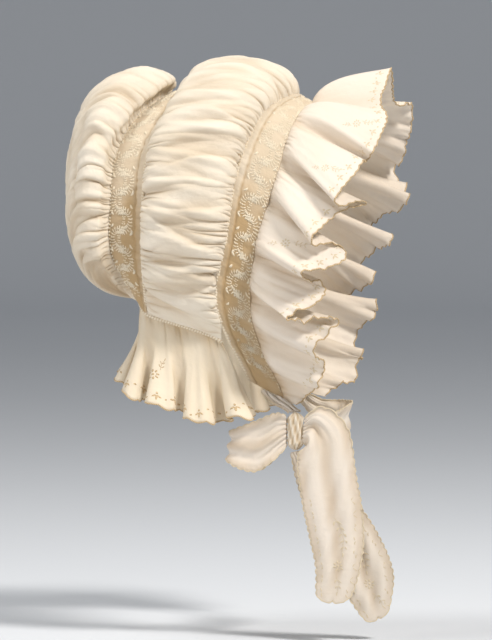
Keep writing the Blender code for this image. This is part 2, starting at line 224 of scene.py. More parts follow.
def spline(rows: Table | np.ndarray, share: np.ndarray) -> np.ndarray:
    """A smooth curve through evenly spaced rows.

    Args:
        rows: The rows that the curve passes through.
        share: Places along the curve, from 0 to 1.

    Returns:
        One row of values for each place.
    """
    rows = np.asarray(rows, float)
    share = np.asarray(share, float)
    last = len(rows) - 1
    place = np.clip(share, 0, 1) * last
    index = np.minimum(place.astype(int), last - 1)
    u = (place - index).reshape(share.shape + (1,) * (rows.ndim - 1))
    padded = np.concatenate([[2 * rows[0] - rows[1]], rows, [2 * rows[-1] - rows[-2]]])
    before, start, end, after = (padded[index + step] for step in range(4))
    return 0.5 * (
        2 * start
        + (end - before) * u
        + (2 * before - 5 * start + 4 * end - after) * u**2
        + (3 * start - before - 3 * end + after) * u**3
    )


def arch(half: Table, across: np.ndarray) -> np.ndarray:
    """Points of an arch over the head.

    Args:
        half: The left half of the arch, from the top of the head down.
        across: Places from -1 at the right end through 0 at the top to 1 at the left end.

    Returns:
        One point for each place.
    """
    half_rows = np.asarray(half, float)
    mirrored = half_rows[:0:-1] * (1, -1, 1)
    return spline(np.concatenate([mirrored, half_rows]), (np.asarray(across) + 1) / 2)


def hem_side(table: Table, steps: int) -> tuple[np.ndarray, np.ndarray, np.ndarray]:
    """One side of a frill's hem.

    Args:
        table: Rows of seam share, turn and point.
        steps: How many steps lie between two rows.

    Returns:
        Stations from 0 to 1 along the seam, with the hem's points and turns there.
    """
    rows = np.asarray(table, float)
    row = np.arange(len(rows))
    step = np.linspace(0, row[-1], row[-1] * steps + 1)
    return np.interp(step, row, rows[:, 0]), spline(rows[:, 2:], step / row[-1]), np.interp(step, row, rows[:, 1])


def unit(vectors: np.ndarray) -> np.ndarray:
    """Vectors scaled to length one."""
    return vectors / np.maximum(np.linalg.norm(vectors, axis=-1, keepdims=True), 1e-9)


def run_lengths(points: np.ndarray, axis: int = 0) -> np.ndarray:
    """Length along lines of points.

    Args:
        points: A line or a grid of points.
        axis: The grid's axis that the lines follow.

    Returns:
        Each point's distance from its line's first point, along the line.
    """
    steps = np.linalg.norm(np.diff(points, axis=axis), axis=-1)
    start = np.zeros_like(np.take(steps, [0], axis=axis))
    return np.cumsum(np.concatenate([start, steps], axis=axis), axis=axis)


def waver(place: np.ndarray, period: float, seed: int) -> np.ndarray:
    """A smooth uneven wave between about -1 and 1.

    Args:
        place: Where the wave is read, in millimetres.
        period: Its rough wavelength in millimetres.
        seed: Picks the wave.

    Returns:
        The wave's height at each place.
    """
    rng = np.random.default_rng(seed)
    turns = rng.uniform(0, TAU, 4)
    rates = rng.uniform(0.65, 1.5, 4) * TAU / period
    return sum(np.sin(rate * place + turn) for rate, turn in zip(rates, turns)) / 2.6


def smooth_step(value: np.ndarray) -> np.ndarray:
    """A value eased from 0 to 1."""
    kept = np.clip(value, 0, 1)
    return kept * kept * (3 - 2 * kept)


def skewed(offset: np.ndarray, skew: float) -> np.ndarray:
    """Distances from a crease's line, made shorter on one side of it and longer on the other."""
    return np.where(offset > 0, offset / skew, -offset * skew)


def puff_shade(creases: np.ndarray, darkest: float, hollows: np.ndarray) -> np.ndarray:
    """Fold values of a puff.

    Args:
        creases: Depths of its creases in millimetres.
        darkest: Depth from which a crease is as dark as it gets.
        hollows: Depths of its hollows in millimetres.

    Returns:
        A value for each point, 0 on crests.
    """
    return np.clip(creases / darkest, 0, 1) ** 1.2 * 0.8 + 0.42 * np.clip(hollows / 3.2, 0, 1)


def add(name: str, data: bpy.types.ID) -> bpy.types.Object:
    """Puts an object into the scene.

    Args:
        name: Its name.
        data: Its mesh, lamp or camera.

    Returns:
        The object.
    """
    made = bpy.data.objects.new(name, data)
    bpy.context.scene.collection.objects.link(made)
    return made


def finished(mesh: bpy.types.Mesh, corners: np.ndarray, places: np.ndarray, finish: Material) -> bpy.types.Object:
    """Turns a mesh into a smooth piece with its finish.

    Args:
        mesh: The mesh, which also names the piece.
        corners: The point at each corner of its faces.
        places: Where each point is on its cloth, in millimetres.
        finish: Its material.

    Returns:
        The mesh object.
    """
    layer = mesh.uv_layers.new(name="UVMap")
    layer.data.foreach_set("uv", (places * MM)[corners].astype(np.float32).ravel())
    mesh.shade_smooth()
    mesh.materials.append(finish)
    return add(mesh.name, mesh)


class Slot(Enum):
    """The record's material slots."""

    MULL = "cotton_mull"
    EMBROIDERY = "embroidered_mull"
    PIPING = "corded_piping"


class Hold(Enum):
    """How a sheet of cloth is held."""

    GATHERED = "gathered"
    HUNG = "hung"
    FOLDED = "folded"


class Signal:
    """A node's output that can be used in arithmetic, which adds Math nodes."""

    def __init__(self, bench: NodeBench, socket: bpy.types.NodeSocket) -> None:
        """Wraps a socket of the bench's material."""
        self.bench = bench
        self.socket = socket

    def maths(self, operation: str, *terms: Signal | float) -> Signal:
        """One Math node on the terms."""
        return self.bench.node("ShaderNodeMath", {"operation": operation}, dict(enumerate(terms)))

    def __add__(self, other: Signal | float) -> Signal:
        """Adds a signal or number."""
        return self.maths("ADD", self, other)

    def __sub__(self, other: Signal | float) -> Signal:
        """Takes away a signal or number."""
        return self.maths("SUBTRACT", self, other)

    def __rsub__(self, other: float) -> Signal:
        """Takes this away from a number."""
        return self.maths("SUBTRACT", other, self)

    def __mul__(self, other: Signal | float) -> Signal:
        """Multiplies by a signal or number."""
        return self.maths("MULTIPLY", self, other)

    def __pow__(self, power: float) -> Signal:
        """Raises to a power."""
        return self.maths("POWER", self, power)

    __radd__ = __add__
    __rmul__ = __mul__

    def wave(self, period: float) -> Signal:
        """A wave from 0 to 1 with a period in metres."""
        return self.maths("SINE", self * (TAU / period)) * 0.5 + 0.5

    def kept(self) -> Signal:
        """The signal held between 0 and 1."""
        return self.bench.node("ShaderNodeClamp", {}, {0: self})


class NodeBench:
    """Adds nodes to one material."""

    def __init__(self, name: str) -> None:
        """Starts an empty material.

        Args:
            name: The material's name.
        """
        self.material = bpy.data.materials.new(name)
        self.material.use_nodes = True
        self.tree = self.material.node_tree
        self.tree.nodes.clear()

    def node(self, kind: str, settings: dict, inputs: dict, output: int | str = 0) -> Signal:
        """Adds a node.

        Args:
            kind: The node's type.
            settings: Properties that are set first.
            inputs: Numbers, colours or signals for its sockets, by index or name.
            output: Which of its outputs is returned.

        Returns:
            The node's output.
        """
        made = self.tree.nodes.new(kind)
        for key, value in settings.items():
            setattr(made, key, value)
        for key, value in inputs.items():
            socket = made.inputs[key]
            if isinstance(value, Signal):
                self.tree.links.new(value.socket, socket)
            else:
                socket.default_value = value
        return Signal(self, made.outputs[output])

    def blend(self, share: Signal | float, start: Signal | Colour, end: Signal | Colour) -> Signal:
        """Blends two colours.

        Args:
            share: How much of the end colour shows.
            start: The colour at share 0.
            end: The colour at share 1.

        Returns:
            The blended colour.
        """
        ends = [(*c, 1) if isinstance(c, tuple) else c for c in (start, end)]
        return self.node("ShaderNodeMix", {"data_type": "RGBA"}, {0: share, 6: ends[0], 7: ends[1]}, 2)

    def cloth_place(self) -> tuple[Signal, Signal, Signal]:
        """Where a point is on its cloth.

        Returns:
            The place as a vector, and its two parts, in metres.
        """
        place = self.node("ShaderNodeUVMap", {"uv_map": "UVMap"}, {})
        parts = self.tree.nodes.new("ShaderNodeSeparateXYZ")
        self.tree.links.new(place.socket, parts.inputs[0])
        return place, Signal(self, parts.outputs[0]), Signal(self, parts.outputs[1])

    def speckle(self, place: Signal, stretch: tuple[float, float, float], detail: float = 2) -> Signal:
        """Noise with its own scale along each direction.

        Args:
            place: Where the noise is read.
            stretch: Scale along each direction, per metre.
            detail: How many finer layers it has.

        Returns:
            Noise from 0 to 1.
        """
        scaled = self.node("ShaderNodeVectorMath", {"operation": "MULTIPLY"}, {0: place, 1: stretch})
        return self.node("ShaderNodeTexNoise", {}, {"Vector": scaled, "Scale": 1.0, "Detail": detail})

    def relief(self, height: Signal, depth: float) -> Signal:
        """A bumped normal from a height between 0 and 1, with its depth in metres."""
        return self.node("ShaderNodeBump", {}, {"Strength": 1.0, "Distance": depth, "Height": height}, "Normal")

    def finish(self, shader: Signal) -> Material:
        """Ends the material.

        Args:
            shader: Its surface.

        Returns:
            The material.
        """
        end = self.tree.nodes.new("ShaderNodeOutputMaterial")
        self.tree.links.new(shader.socket, end.inputs["Surface"])
        return self.material


@dataclass(frozen=True)
class MullFinish:
    """Thin matt cotton with its weave, slubs and uneven ageing, and painted shade in its creases and folds."""

    name: str = "cotton_mull"
    light: Colour = (0.935, 0.87, 0.76)
    aged: Colour = (0.88, 0.785, 0.635)
    # The crease colour is painted shade, blended in wherever the pieces set their fold values.
    crease: Colour = (0.48, 0.31, 0.13)
    crease_shade_share: float = 0.75
    thread: float = 0.00062
    translucency: float = 0.3
    crumple: float = 0.0009

    def material(self) -> Material:
        """Builds the finish.

        Returns:
            The material.
        """
        bench = NodeBench(self.name)
        place, along, across = bench.cloth_place()
        weave = along.wave(self.thread) * across.wave(self.thread)
        slubs = bench.speckle(place, (60.0, 1700.0, 1.0)) + bench.speckle(place, (1700.0, 60.0, 1.0))
        crumple = bench.speckle(place, (260.0, 190.0, 1.0), 3)
        ageing = bench.speckle(place, (28.0, 22.0, 1.0), 3)
        # Painted shade: the fold attribute darkens the cloth toward the crease colour in creases, hollows, grooves and
        # valleys.
        fold = bench.node("ShaderNodeAttribute", {"attribute_name": "fold"}, {}, "Fac")
        cream = bench.blend(((ageing - 0.35) * 1.6).kept(), self.light, self.aged)
        colour = bench.blend((fold * self.crease_shade_share + (slubs - 1.0) * 0.10).kept(), cream, self.crease)
        height = weave * 0.06 + slubs * 0.10 + crumple * 0.84
        principled = bench.node(
            "ShaderNodeBsdfPrincipled",
            {},
            {
                "Base Color": colour,
                "Roughness": 0.86 + (slubs - 1.0) * 0.1,
                "Normal": bench.relief(height, self.crumple),
                "Sheen Weight": 0.12,
                "Sheen Roughness": 0.45,
                "Specular IOR Level": 0.3,
            },
        )
        through = bench.node("ShaderNodeBsdfTranslucent", {}, {"Color": (0.95, 0.87, 0.72, 1)})
        return bench.finish(bench.node("ShaderNodeMixShader", {}, {0: self.translucency, 1: principled, 2: through}))


@dataclass(frozen=True)
class ThreadFinish:
    """Soft mercerised thread, laid in close stitches."""

    name: str = "satin_stitch"
    light: Colour = (0.90, 0.81, 0.645)
    # The dark colour serves both the painted shade between stitch lines and the wear speckle.
    dark: Colour = (0.64, 0.49, 0.30)
    stitch: float = 0.00055
    depth: float = 0.00025
    roughness: float = 0.55
    line: float = 0.3

    def material(self) -> Material:
        """Builds the finish.

        Returns:
            The material.
        """
        bench = NodeBench(self.name)
        place, along, across = bench.cloth_place()
        stitches = (along + across * 0.35).wave(self.stitch)
        wear = bench.speckle(place, (90.0, 90.0, 1.0), 3)
        # Painted shade darkens the grooves between the stitch lines; the wear speckle adds uneven tone.
        colour = bench.blend(((1.0 - stitches) ** 2.0 * self.line + wear * 0.12).kept(), self.light, self.dark)
        return bench.finish(
            bench.node(
                "ShaderNodeBsdfPrincipled",
                {},
                {
                    "Base Color": colour,
                    "Roughness": self.roughness + wear * 0.15,
                    "Normal": bench.relief(stitches * 0.8 + wear * 0.2, self.depth),
                    "Sheen Weight": 0.04,
                    "Specular IOR Level": 0.28,
                },
            )
        )


@dataclass(frozen=True)
class PaperFinish:
    """Plain pale studio paper."""

    name: str = "studio_paper"
    light: Colour = (0.73, 0.755, 0.79)
    shade: Colour = (0.70, 0.725, 0.76)

    def material(self) -> Material:
        """Builds the finish.

        Returns:
            The material.
        """
        bench = NodeBench(self.name)
        place = bench.node("ShaderNodeTexCoord", {}, {}, "Object")
        cloud = bench.speckle(place, (0.8, 0.8, 0.8), 3)
        shader = bench.node(
            "ShaderNodeBsdfPrincipled",
            {},
            {"Base Color": bench.blend(cloud, self.light, self.shade), "Roughness": 0.9},
        )
        return bench.finish(shader)


@dataclass
class Sheet:
    """A sheet of cloth as a grid of points in millimetres.

    Rows run along the seam and columns away from it. The fold value is painted shade, 0 on crests and 1 in creases.
    Where outward is 0, the side that faces out is the one away from the middle of the head.
    """

    points: np.ndarray
    fold: np.ndarray | float = 0.0
    outward: float = 0.0

    def normals(self) -> np.ndarray:
        """Directions out of the sheet.

        Returns:
            A unit vector at each point.
        """
        found = unit(np.cross(np.gradient(self.points, axis=0), np.gradient(self.points, axis=1)))
        side = self.outward or np.sign(np.sum(found * (self.points - HEAD_MIDDLE), axis=-1).mean())
        return found * side

    def raised(self, height: np.ndarray) -> Sheet:
        """The sheet pushed out by a height at each point."""
        return Sheet(self.points + self.normals() * height[..., None], self.fold, self.outward)

    def run(self) -> np.ndarray:
        """Length along the middle column at each row, 0 at the middle row."""
        middle = run_lengths(self.points[:, self.points.shape[1] // 2])
        return middle - middle[len(middle) // 2]

    def away(self) -> np.ndarray:
        """Distance of each point from the first column."""
        return run_lengths(self.points, axis=1)

    def build(self, name: str, wall: float, finish: Material) -> bpy.types.Object:
        """Makes the sheet's mesh with its wall.

        Args:
            name: The piece's name.
            wall: Thickness in millimetres, or 0 for none.
            finish: Its material.

        Returns:
            The mesh object.
        """
        rows, columns = self.points.shape[:2]
        bm = bmesh.new()
        bmesh.ops.create_grid(bm, x_segments=columns - 1, y_segments=rows - 1, size=1)
        mesh = bpy.data.meshes.new(name)
        bm.to_mesh(mesh)
        bm.free()
        mesh.vertices.foreach_set("co", (self.points * MM).astype(np.float32).ravel())
        corners = np.empty(len(mesh.loops), np.int32)
        mesh.loops.foreach_get("vertex_index", corners)
        places = np.stack([np.broadcast_to(self.run()[:, None], (rows, columns)), self.away()], -1)
        made = finished(mesh, corners, places.reshape(-1, 2), finish)
        # The fold values go onto the mesh as painted shade for the mull finishes.
        fold = np.broadcast_to(np.clip(self.fold, 0, 1), (rows, columns)).astype(np.float32)
        mesh.attributes.new("fold", "FLOAT", "POINT").data.foreach_set("value", fold.ravel())
        mesh.update()
        if wall:
            shell = made.modifiers.new("wall", "SOLIDIFY")
            shell.thickness = wall * MM
            shell.offset = 0
        return made


@dataclass(frozen=True)
class Gathers:
    """Creases that a gathering thread draws into cloth, which run from a seam and spread as they fade."""

    spacing: float
    depth: float
    width: float
    reach: tuple[float, float]
    long_share: float
    drift: float
    seed: int

    def creases(self, along: np.ndarray, away: np.ndarray) -> np.ndarray:
        """How deep the creases are.

        Args:
            along: Place of each row along the seam, in millimetres.
            away: Distance of each point from the seam, in millimetres.

        Returns:
            Depth in millimetres at each point.
        """
        rng = np.random.default_rng(self.seed)
        total = np.zeros_like(away)
        place = float(along.min())
        while place < along.max():
            place += self.spacing * rng.uniform(0.55, 1.45)
            long_one = rng.random() < self.long_share
            reach = rng.uniform(0.6, 1.2) * self.reach[1] if long_one else rng.uniform(0.35, 1.5) * self.reach[0]
            depth = self.depth * rng.uniform(0.5, 1.3) * (1.2 if long_one else 1)
            width = self.width * rng.uniform(0.75, 1.3) * (1 + away / (20 if long_one else 14))
            lean = rng.normal(0, self.drift)
            sway = rng.normal(0, 1.5) * np.sin(away / reach * 2.4)
            skew = rng.uniform(0.65, 1.5)
            near = np.abs(along - place) < CREASE_SPAN
            offset = skewed(along[near, None] - place - lean * away[near] - sway[near], skew)
            rise = 0.6 + 0.4 * smooth_step(away[near] / 4)
            fade = np.exp(-((away[near] / reach) ** 2))
            total[near] += depth * rise * fade * np.exp(-((offset / width[near]) ** 1.25))
        return total


@dataclass(frozen=True)
class Hollows:
    """Broad hollows across a puff, each shaped like a lens with one steep side."""

    spacing: float
    depth: float
    width: float
    length: tuple[float, float]
    drift: float
    seed: int

    def depths(self, along: np.ndarray, away: np.ndarray) -> np.ndarray:
        """How deep the hollows are.

        Args:
            along: Place of each row along the puff, in millimetres.
            away: Distance of each point from the puff's first seam, in millimetres.

        Returns:
            Depth in millimetres at each point.
        """
        rng = np.random.default_rng(self.seed)
        total = np.zeros_like(away)
        place = float(along.min())
        while place < along.max():
            place += self.spacing * rng.uniform(0.5, 1.5)
            middle = rng.uniform(0.22, 0.78)
            half_length = rng.uniform(*self.length)
            depth = self.depth * rng.uniform(0.45, 1.25)
            width = self.width * rng.uniform(0.7, 1.5)
            lean = rng.normal(0, self.drift)
            skew = rng.choice((0.5, 0.62, 1.6, 2.0))
            near = np.abs(along - place) < CREASE_SPAN
            across = away[near] - middle * away[near, -1:]
            bow = 0.012 * skew * across**2 * rng.uniform(-0.6, 0.6)
            offset = skewed(along[near, None] - place - lean * across - bow, skew)
            lens = np.exp(-(np.abs(across / half_length) ** 2.4))
            spread = width * (0.35 + 0.65 * lens)
            total[near] += depth * lens * np.exp(-((offset / spread) ** 1.6))
        return total


def tube(path: np.ndarray, radius: float, sides: int) -> Sheet:
    """A round cord along a path.

    Args:
        path: Points of its centreline.
        radius: Its radius in millimetres.
        sides: How many sides it has.

    Returns:
        The cord's surface, with its first and last columns on each other.
    """
    tangent = unit(np.gradient(path, axis=0))
    sideways = unit(np.cross(tangent, path - HEAD_MIDDLE))
    outward = np.cross(sideways, tangent)
    turn = np.linspace(0, TAU, sides + 1)
    row = np.arange(len(path))
    ends = np.sqrt(np.clip(np.minimum(row, row[::-1]) / CLOSING_ROWS, 0, 1))
    ring = outward[:, None] * np.cos(turn)[None, :, None] + sideways[:, None] * np.sin(turn)[None, :, None]
    points = path[:, None] + ring * (radius * ends)[:, None, None]
    # Painted shade on the side of the cord that faces the head.
    fold = np.broadcast_to(0.5 - 0.5 * np.cos(turn), points.shape[:2]).copy()
    return Sheet(points, fold)


def dress(piece: bpy.types.Object, nodes: Sequence[str] = ()) -> bpy.types.Object:
    """Puts a piece on the cap.

    Args:
        piece: The new piece.
        nodes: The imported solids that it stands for.

    Returns:
        The piece.
    """
    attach(piece, "root")
    if nodes:
        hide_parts(*nodes)
    faces = sum(len(p.vertices) - 2 for p in piece.data.polygons)
    LOG.info("%s: %d triangles before its wall", piece.name, faces)
    return piece


@dataclass
class Panel:
    """A sheet seen as flat ground for needlework, measured in millimetres."""

    sheet: Sheet

    def __post_init__(self) -> None:
        """Measures the ground."""
        self.run = self.sheet.run()
        self.width = self.sheet.away()[:, -1]
        self.normals = self.sheet.normals()

    def spots(self, along: np.ndarray, down: np.ndarray) -> tuple[np.ndarray, np.ndarray]:
        """Points and normals of the ground.

        Args:
            along: Distance along the seam from its middle.
            down: Distance from the first column.

        Returns:
            The points and the normals there.
        """
        rows, columns = self.sheet.points.shape[:2]
        row = np.clip(np.interp(along, self.run, np.arange(rows)), 0, rows - 1.001)
        width = np.interp(row, np.arange(rows), self.width)
        column = np.clip(down / width * (columns - 1), 0, columns - 1.001)
        r, c = row.astype(int), column.astype(int)
        u, v = (row - r)[..., None], (column - c)[..., None]

        def blend(grid: np.ndarray) -> np.ndarray:
            """Blends the four corners round each place.

            Args:
                grid: Values at the sheet's points.

            Returns:
                Values at the places.
            """
            near = grid[r, c] * (1 - v) + grid[r, c + 1] * v
            far = grid[r + 1, c] * (1 - v) + grid[r + 1, c + 1] * v
            return near * (1 - u) + far * u

        return blend(self.sheet.points), unit(blend(self.normals))


class Needlework:
    """Raised stitching on a panel, gathered into one mesh."""

    def __init__(self, panel: Panel, relief: float) -> None:
        """Starts on an empty panel.

        Args:
            panel: The ground that is worked on.
            relief: Height of the stitches above it.
        """
        self.panel = panel
        self.relief = relief
        self.points: list[np.ndarray] = []
        self.places: list[np.ndarray] = []
        self.faces: list[np.ndarray] = []
        self.count = 0

    def pad(self, along: np.ndarray, down: np.ndarray, height: np.ndarray, place: np.ndarray) -> None:
        """Adds one padded grid of stitches.

        Args:
            along: Places of its points along the seam.
            down: Their distances from the first column.
            height: Their heights above the ground.
            place: Their places in the stitching, in millimetres.
        """
        spots, normals = self.panel.spots(along, down)
        self.points.append((spots + normals * height[..., None]).reshape(-1, 3))
        self.places.append(place.reshape(-1, 2))
        rows, columns = along.shape
        index = np.arange(rows * columns).reshape(rows, columns) + self.count
        quads = np.stack([index[:-1, :-1], index[:-1, 1:], index[1:, 1:], index[1:, :-1]], -1)
        self.faces.append(quads.reshape(-1, 4))
        self.count += rows * columns

    def motif(
        self,
        start: tuple[float, float, float],
        forward: np.ndarray,
        sideways: np.ndarray,
        height: np.ndarray,
        place: np.ndarray | None = None,
    ) -> None:
        """Adds stitches that are drawn along their own heading.

        Args:
            start: Where they start, along the seam and down from the first column, and their heading in degrees.
            forward: Distances of their points from the start.
            sideways: Distances of their points from the heading's line.
            height: Their heights above the ground.
            place: Their places in the stitching, where these differ from forward and sideways.
        """
        along, down, heading = start
        turn = math.radians(heading)
        self.pad(
            along + math.cos(turn) * forward - math.sin(turn) * sideways,
            down + math.sin(turn) * forward + math.cos(turn) * sideways,
            height,
            np.stack([forward, sideways], -1) if place is None else place,
        )

    def leaf(self, along: float, down: float, heading: float, length: float, width: float, bend: float = 0.0) -> None:
        """A satin-stitched leaf.

        Args:
            along: Where its stalk is along the seam.
            down: The stalk's distance from the first column.
            heading: Its direction in degrees, 0 along the seam and 90 away from it.
            length: Its length.
            width: Its width.
            bend: How far its middle bows sideways, as a share of its length.
        """
        reach = np.linspace(0, 1, 9)[:, None]
        half = np.linspace(-1, 1, 5)[None, :]
        outline = width / 2 * np.sin(math.pi * reach**0.85) ** 0.7
        sideways = half * outline + bend * length * 4 * reach * (1 - reach)
        forward = reach * length + 0 * half
        dome = np.sqrt(1 - half**2 * 0.96) * np.sin(math.pi * np.clip(reach, 0.03, 0.97)) ** 0.5
        place = np.stack([forward, half * outline], -1)
        self.motif((along, down, heading), forward, sideways, self.relief * dome - 0.12, place)

    def bar(self, along: float, down: float, heading: float, length: float, width: float) -> None:
        """One thick straight stitch.

        Args:
            along: Where it starts along the seam.
            down: Its start's distance from the first column.
            heading: Its direction in degrees.
            length: Its length.
            width: Its width.
        """
        reach = np.linspace(0, 1, 5)[:, None]
        half = np.array((-1.0, -0.55, 0.55, 1.0))[None, :]
        forward = reach * length + 0 * half
        sideways = half * width / 2 * np.sin(math.pi * np.clip(reach, 0.12, 0.88)) ** 0.5
        height = (self.relief + 0.1) * (1 - 0.85 * half**2) * np.sin(math.pi * np.clip(reach, 0.1, 0.9)) ** 0.5 - 0.1
        self.motif((along, down, heading), forward, sideways, height)

    def fern(self, along: np.ndarray, down: np.ndarray, length: float, gap: float, lean: float) -> None:
        """A curved frond of thick stitches on both sides of a line, longest in its middle.

        Args:
            along: Places of the line along the seam.
            down: Their distances from the first column.
            length: Length of its longest stitches.
            gap: Distance from stitch to stitch.
            lean: Angle of the stitches to the line, in degrees.
        """
        course = np.stack([along, down], -1)
        total = run_lengths(course)[-1]
        steps = int(total / gap)
        places = spline(course, np.linspace(0, 1, steps + 1))
        ahead = np.gradient(places, axis=0)
        for index in range(steps + 1):
            heading = math.degrees(math.atan2(ahead[index, 1], ahead[index, 0]))
            grown = length * (0.35 + 0.65 * math.sin(math.pi * (index + 0.6) / (steps + 1.2)))
            for side in (-1, 1):
                self.bar(places[index, 0], places[index, 1], heading + side * lean, grown, gap * 0.62)

    def dot(self, along: float, down: float, radius: float) -> None:
        """A raised satin-stitched dot.

        Args:
            along: Where its middle is along the seam.
            down: Its middle's distance from the first column.
            radius: Its radius.
        """
        ring = np.linspace(0, 1, 4)[:, None]
        turn = np.linspace(0, TAU, 11)[None, :]
        x, y = ring * radius * np.cos(turn), ring * radius * np.sin(turn)
        height = self.relief * np.sqrt(1 - ring**2 * 0.98) + 0 * turn - 0.08
        self.pad(along + x, down + y, height, np.stack([x, y], -1))

    def stem(self, along: np.ndarray, down: np.ndarray, width: float) -> None:
        """A line of stem stitch.

        Args:
            along: Places of its points along the seam.
            down: Their distances from the first column.
            width: Its width.
        """
        course = np.stack([along, down], -1)
        steps = max(6, int(np.ceil(run_lengths(course)[-1] / 1.6)))
        course = spline(course, np.linspace(0, 1, steps))
        ahead = unit(np.gradient(course, axis=0))
        across = np.stack([-ahead[:, 1], ahead[:, 0]], -1)
        half = np.linspace(-1, 1, 4)[None, :]
        x = course[:, :1] + across[:, :1] * half * width / 2
        y = course[:, 1:] + across[:, 1:] * half * width / 2
        height = 0.8 * self.relief * np.sqrt(1 - half**2 * 0.96) + 0 * x - 0.1
        place = np.stack([run_lengths(course)[:, None] + 0 * half, half * width / 2 + 0 * x], -1)
        self.pad(x, y, height, place)

    def rosette(self, along: float, down: float, radius: float, petals: int = 8) -> None:
        """A rosette of petals round a dot.

        Args:
            along: Where its middle is along the seam.
            down: Its middle's distance from the first column.
            radius: Its radius.
            petals: How many petals it has.
        """
        self.dot(along, down, radius * 0.24)
        for petal in range(petals):
            heading = 360 * petal / petals + 11
            turn = math.radians(heading)
            start = radius * 0.34
            x, y = along + start * math.cos(turn), down + start * math.sin(turn)
            self.leaf(x, y, heading, radius * 0.66, radius * 0.44)

    def spray(self, along: float, down: float, heading: float, length: float, leaves: int, size: float) -> None:
        """A curved stem with pairs of leaves and a leaf at its tip.

        Args:
            along: Where it starts along the seam.
            down: Its start's distance from the first column.
            heading: Its direction in degrees.
            length: The stem's length.
            leaves: How many pairs of leaves it has.
            size: Length of a leaf.
        """
        share = np.linspace(0, 1, 6)
        turn = math.radians(heading)
        sway = 0.14 * length * np.sin(math.pi * share)
        x = along + math.cos(turn) * share * length - math.sin(turn) * sway
        y = down + math.sin(turn) * share * length + math.cos(turn) * sway
        self.stem(x, y, 0.7)
        for pair in range(leaves):
            at = (pair + 0.6) / (leaves + 0.4)
            px, py = np.interp(at, share, x), np.interp(at, share, y)
            grown = size * (1.1 - 0.35 * at)
            for side in (-1, 1):
                self.leaf(px, py, heading + side * 48, grown, grown * 0.36, 0.10 * side)
        self.leaf(x[-1], y[-1], heading - 12, size * 0.9, size * 0.34)

    def build(self, name: str, finish: Material) -> bpy.types.Object:
        """Makes the stitching's mesh.

        Args:
            name: The piece's name.
            finish: Its material.

        Returns:
            The mesh object.
        """
        mesh = bpy.data.meshes.new(name)
        faces = np.concatenate(self.faces)
        mesh.from_pydata((np.concatenate(self.points) * MM).tolist(), [], faces.tolist())
        return finished(mesh, faces.ravel(), np.concatenate(self.places), finish)


SHEER_MULL = MullFinish("sheer_mull", (0.90, 0.83, 0.75), (0.85, 0.76, 0.645), crumple=0.0006)
# A darker, yellower mull for the neck frill.
NAPE_MULL = replace(SHEER_MULL, name="nape_mull", light=(0.87, 0.785, 0.645), aged=(0.82, 0.72, 0.555))
# The band's ground is darker than the mull: partly a darker linen tone, partly painted shade between the raised
# stitches.
BAND_GROUND = MullFinish("band_ground", (0.84, 0.74, 0.60), (0.74, 0.62, 0.45), thread=0.0007, crease_shade_share=0.85)
COVERED_CORD = MullFinish("covered_cord", (0.90, 0.82, 0.68), (0.84, 0.74, 0.57), crumple=0.0004, translucency=0.1)
SPRIG_THREAD = ThreadFinish("sprig_thread", (0.84, 0.73, 0.54), (0.58, 0.43, 0.25), line=0.5)
# The brown picot edging is partly the thread's own colour and partly painted shadow, the thin dark outline along the
# hems.
PICOT_EDGE = ThreadFinish(
    "picot_edge", (0.66, 0.50, 0.30), (0.36, 0.24, 0.12), stitch=0.0012, depth=0.0004, roughness=0.75, line=0.55
)


@dataclass
class Wardrobe:
    """The finishes, made once and shared by the pieces."""

    mull: Material = field(default_factory=MullFinish().material)
    sheer: Material = field(default_factory=SHEER_MULL.material)
    nape: Material = field(default_factory=NAPE_MULL.material)
    ground: Material = field(default_factory=BAND_GROUND.material)
    cord: Material = field(default_factory=COVERED_CORD.material)
    thread: Material = field(default_factory=ThreadFinish().material)
    sprig: Material = field(default_factory=SPRIG_THREAD.material)
    edging: Material = field(default_factory=PICOT_EDGE.material)


def drawn_to_nape(points: np.ndarray, stations: np.ndarray, places: np.ndarray) -> np.ndarray:
    """Draws a sheet's two lower ends down into the nape cord.

    Args:
        points: The sheet's points.
        stations: Its rows' stations, from the right end to the left.
        places: Where along half the nape seam each column ends.

    Returns:
        The points, moved near the ends.
    """
    lower = arch(NECK_SEAM, places)
    near_end = smooth_step((np.abs(stations) - 0.955) / 0.045)[:, None, None]
    for row, seam in ((0, lower * (1, -1, 1)), (-1, lower)):
        half = near_end * (np.sign(stations) == np.sign(stations[row]))[:, None, None]
        points = points + half * (seam - points[row])
    return points


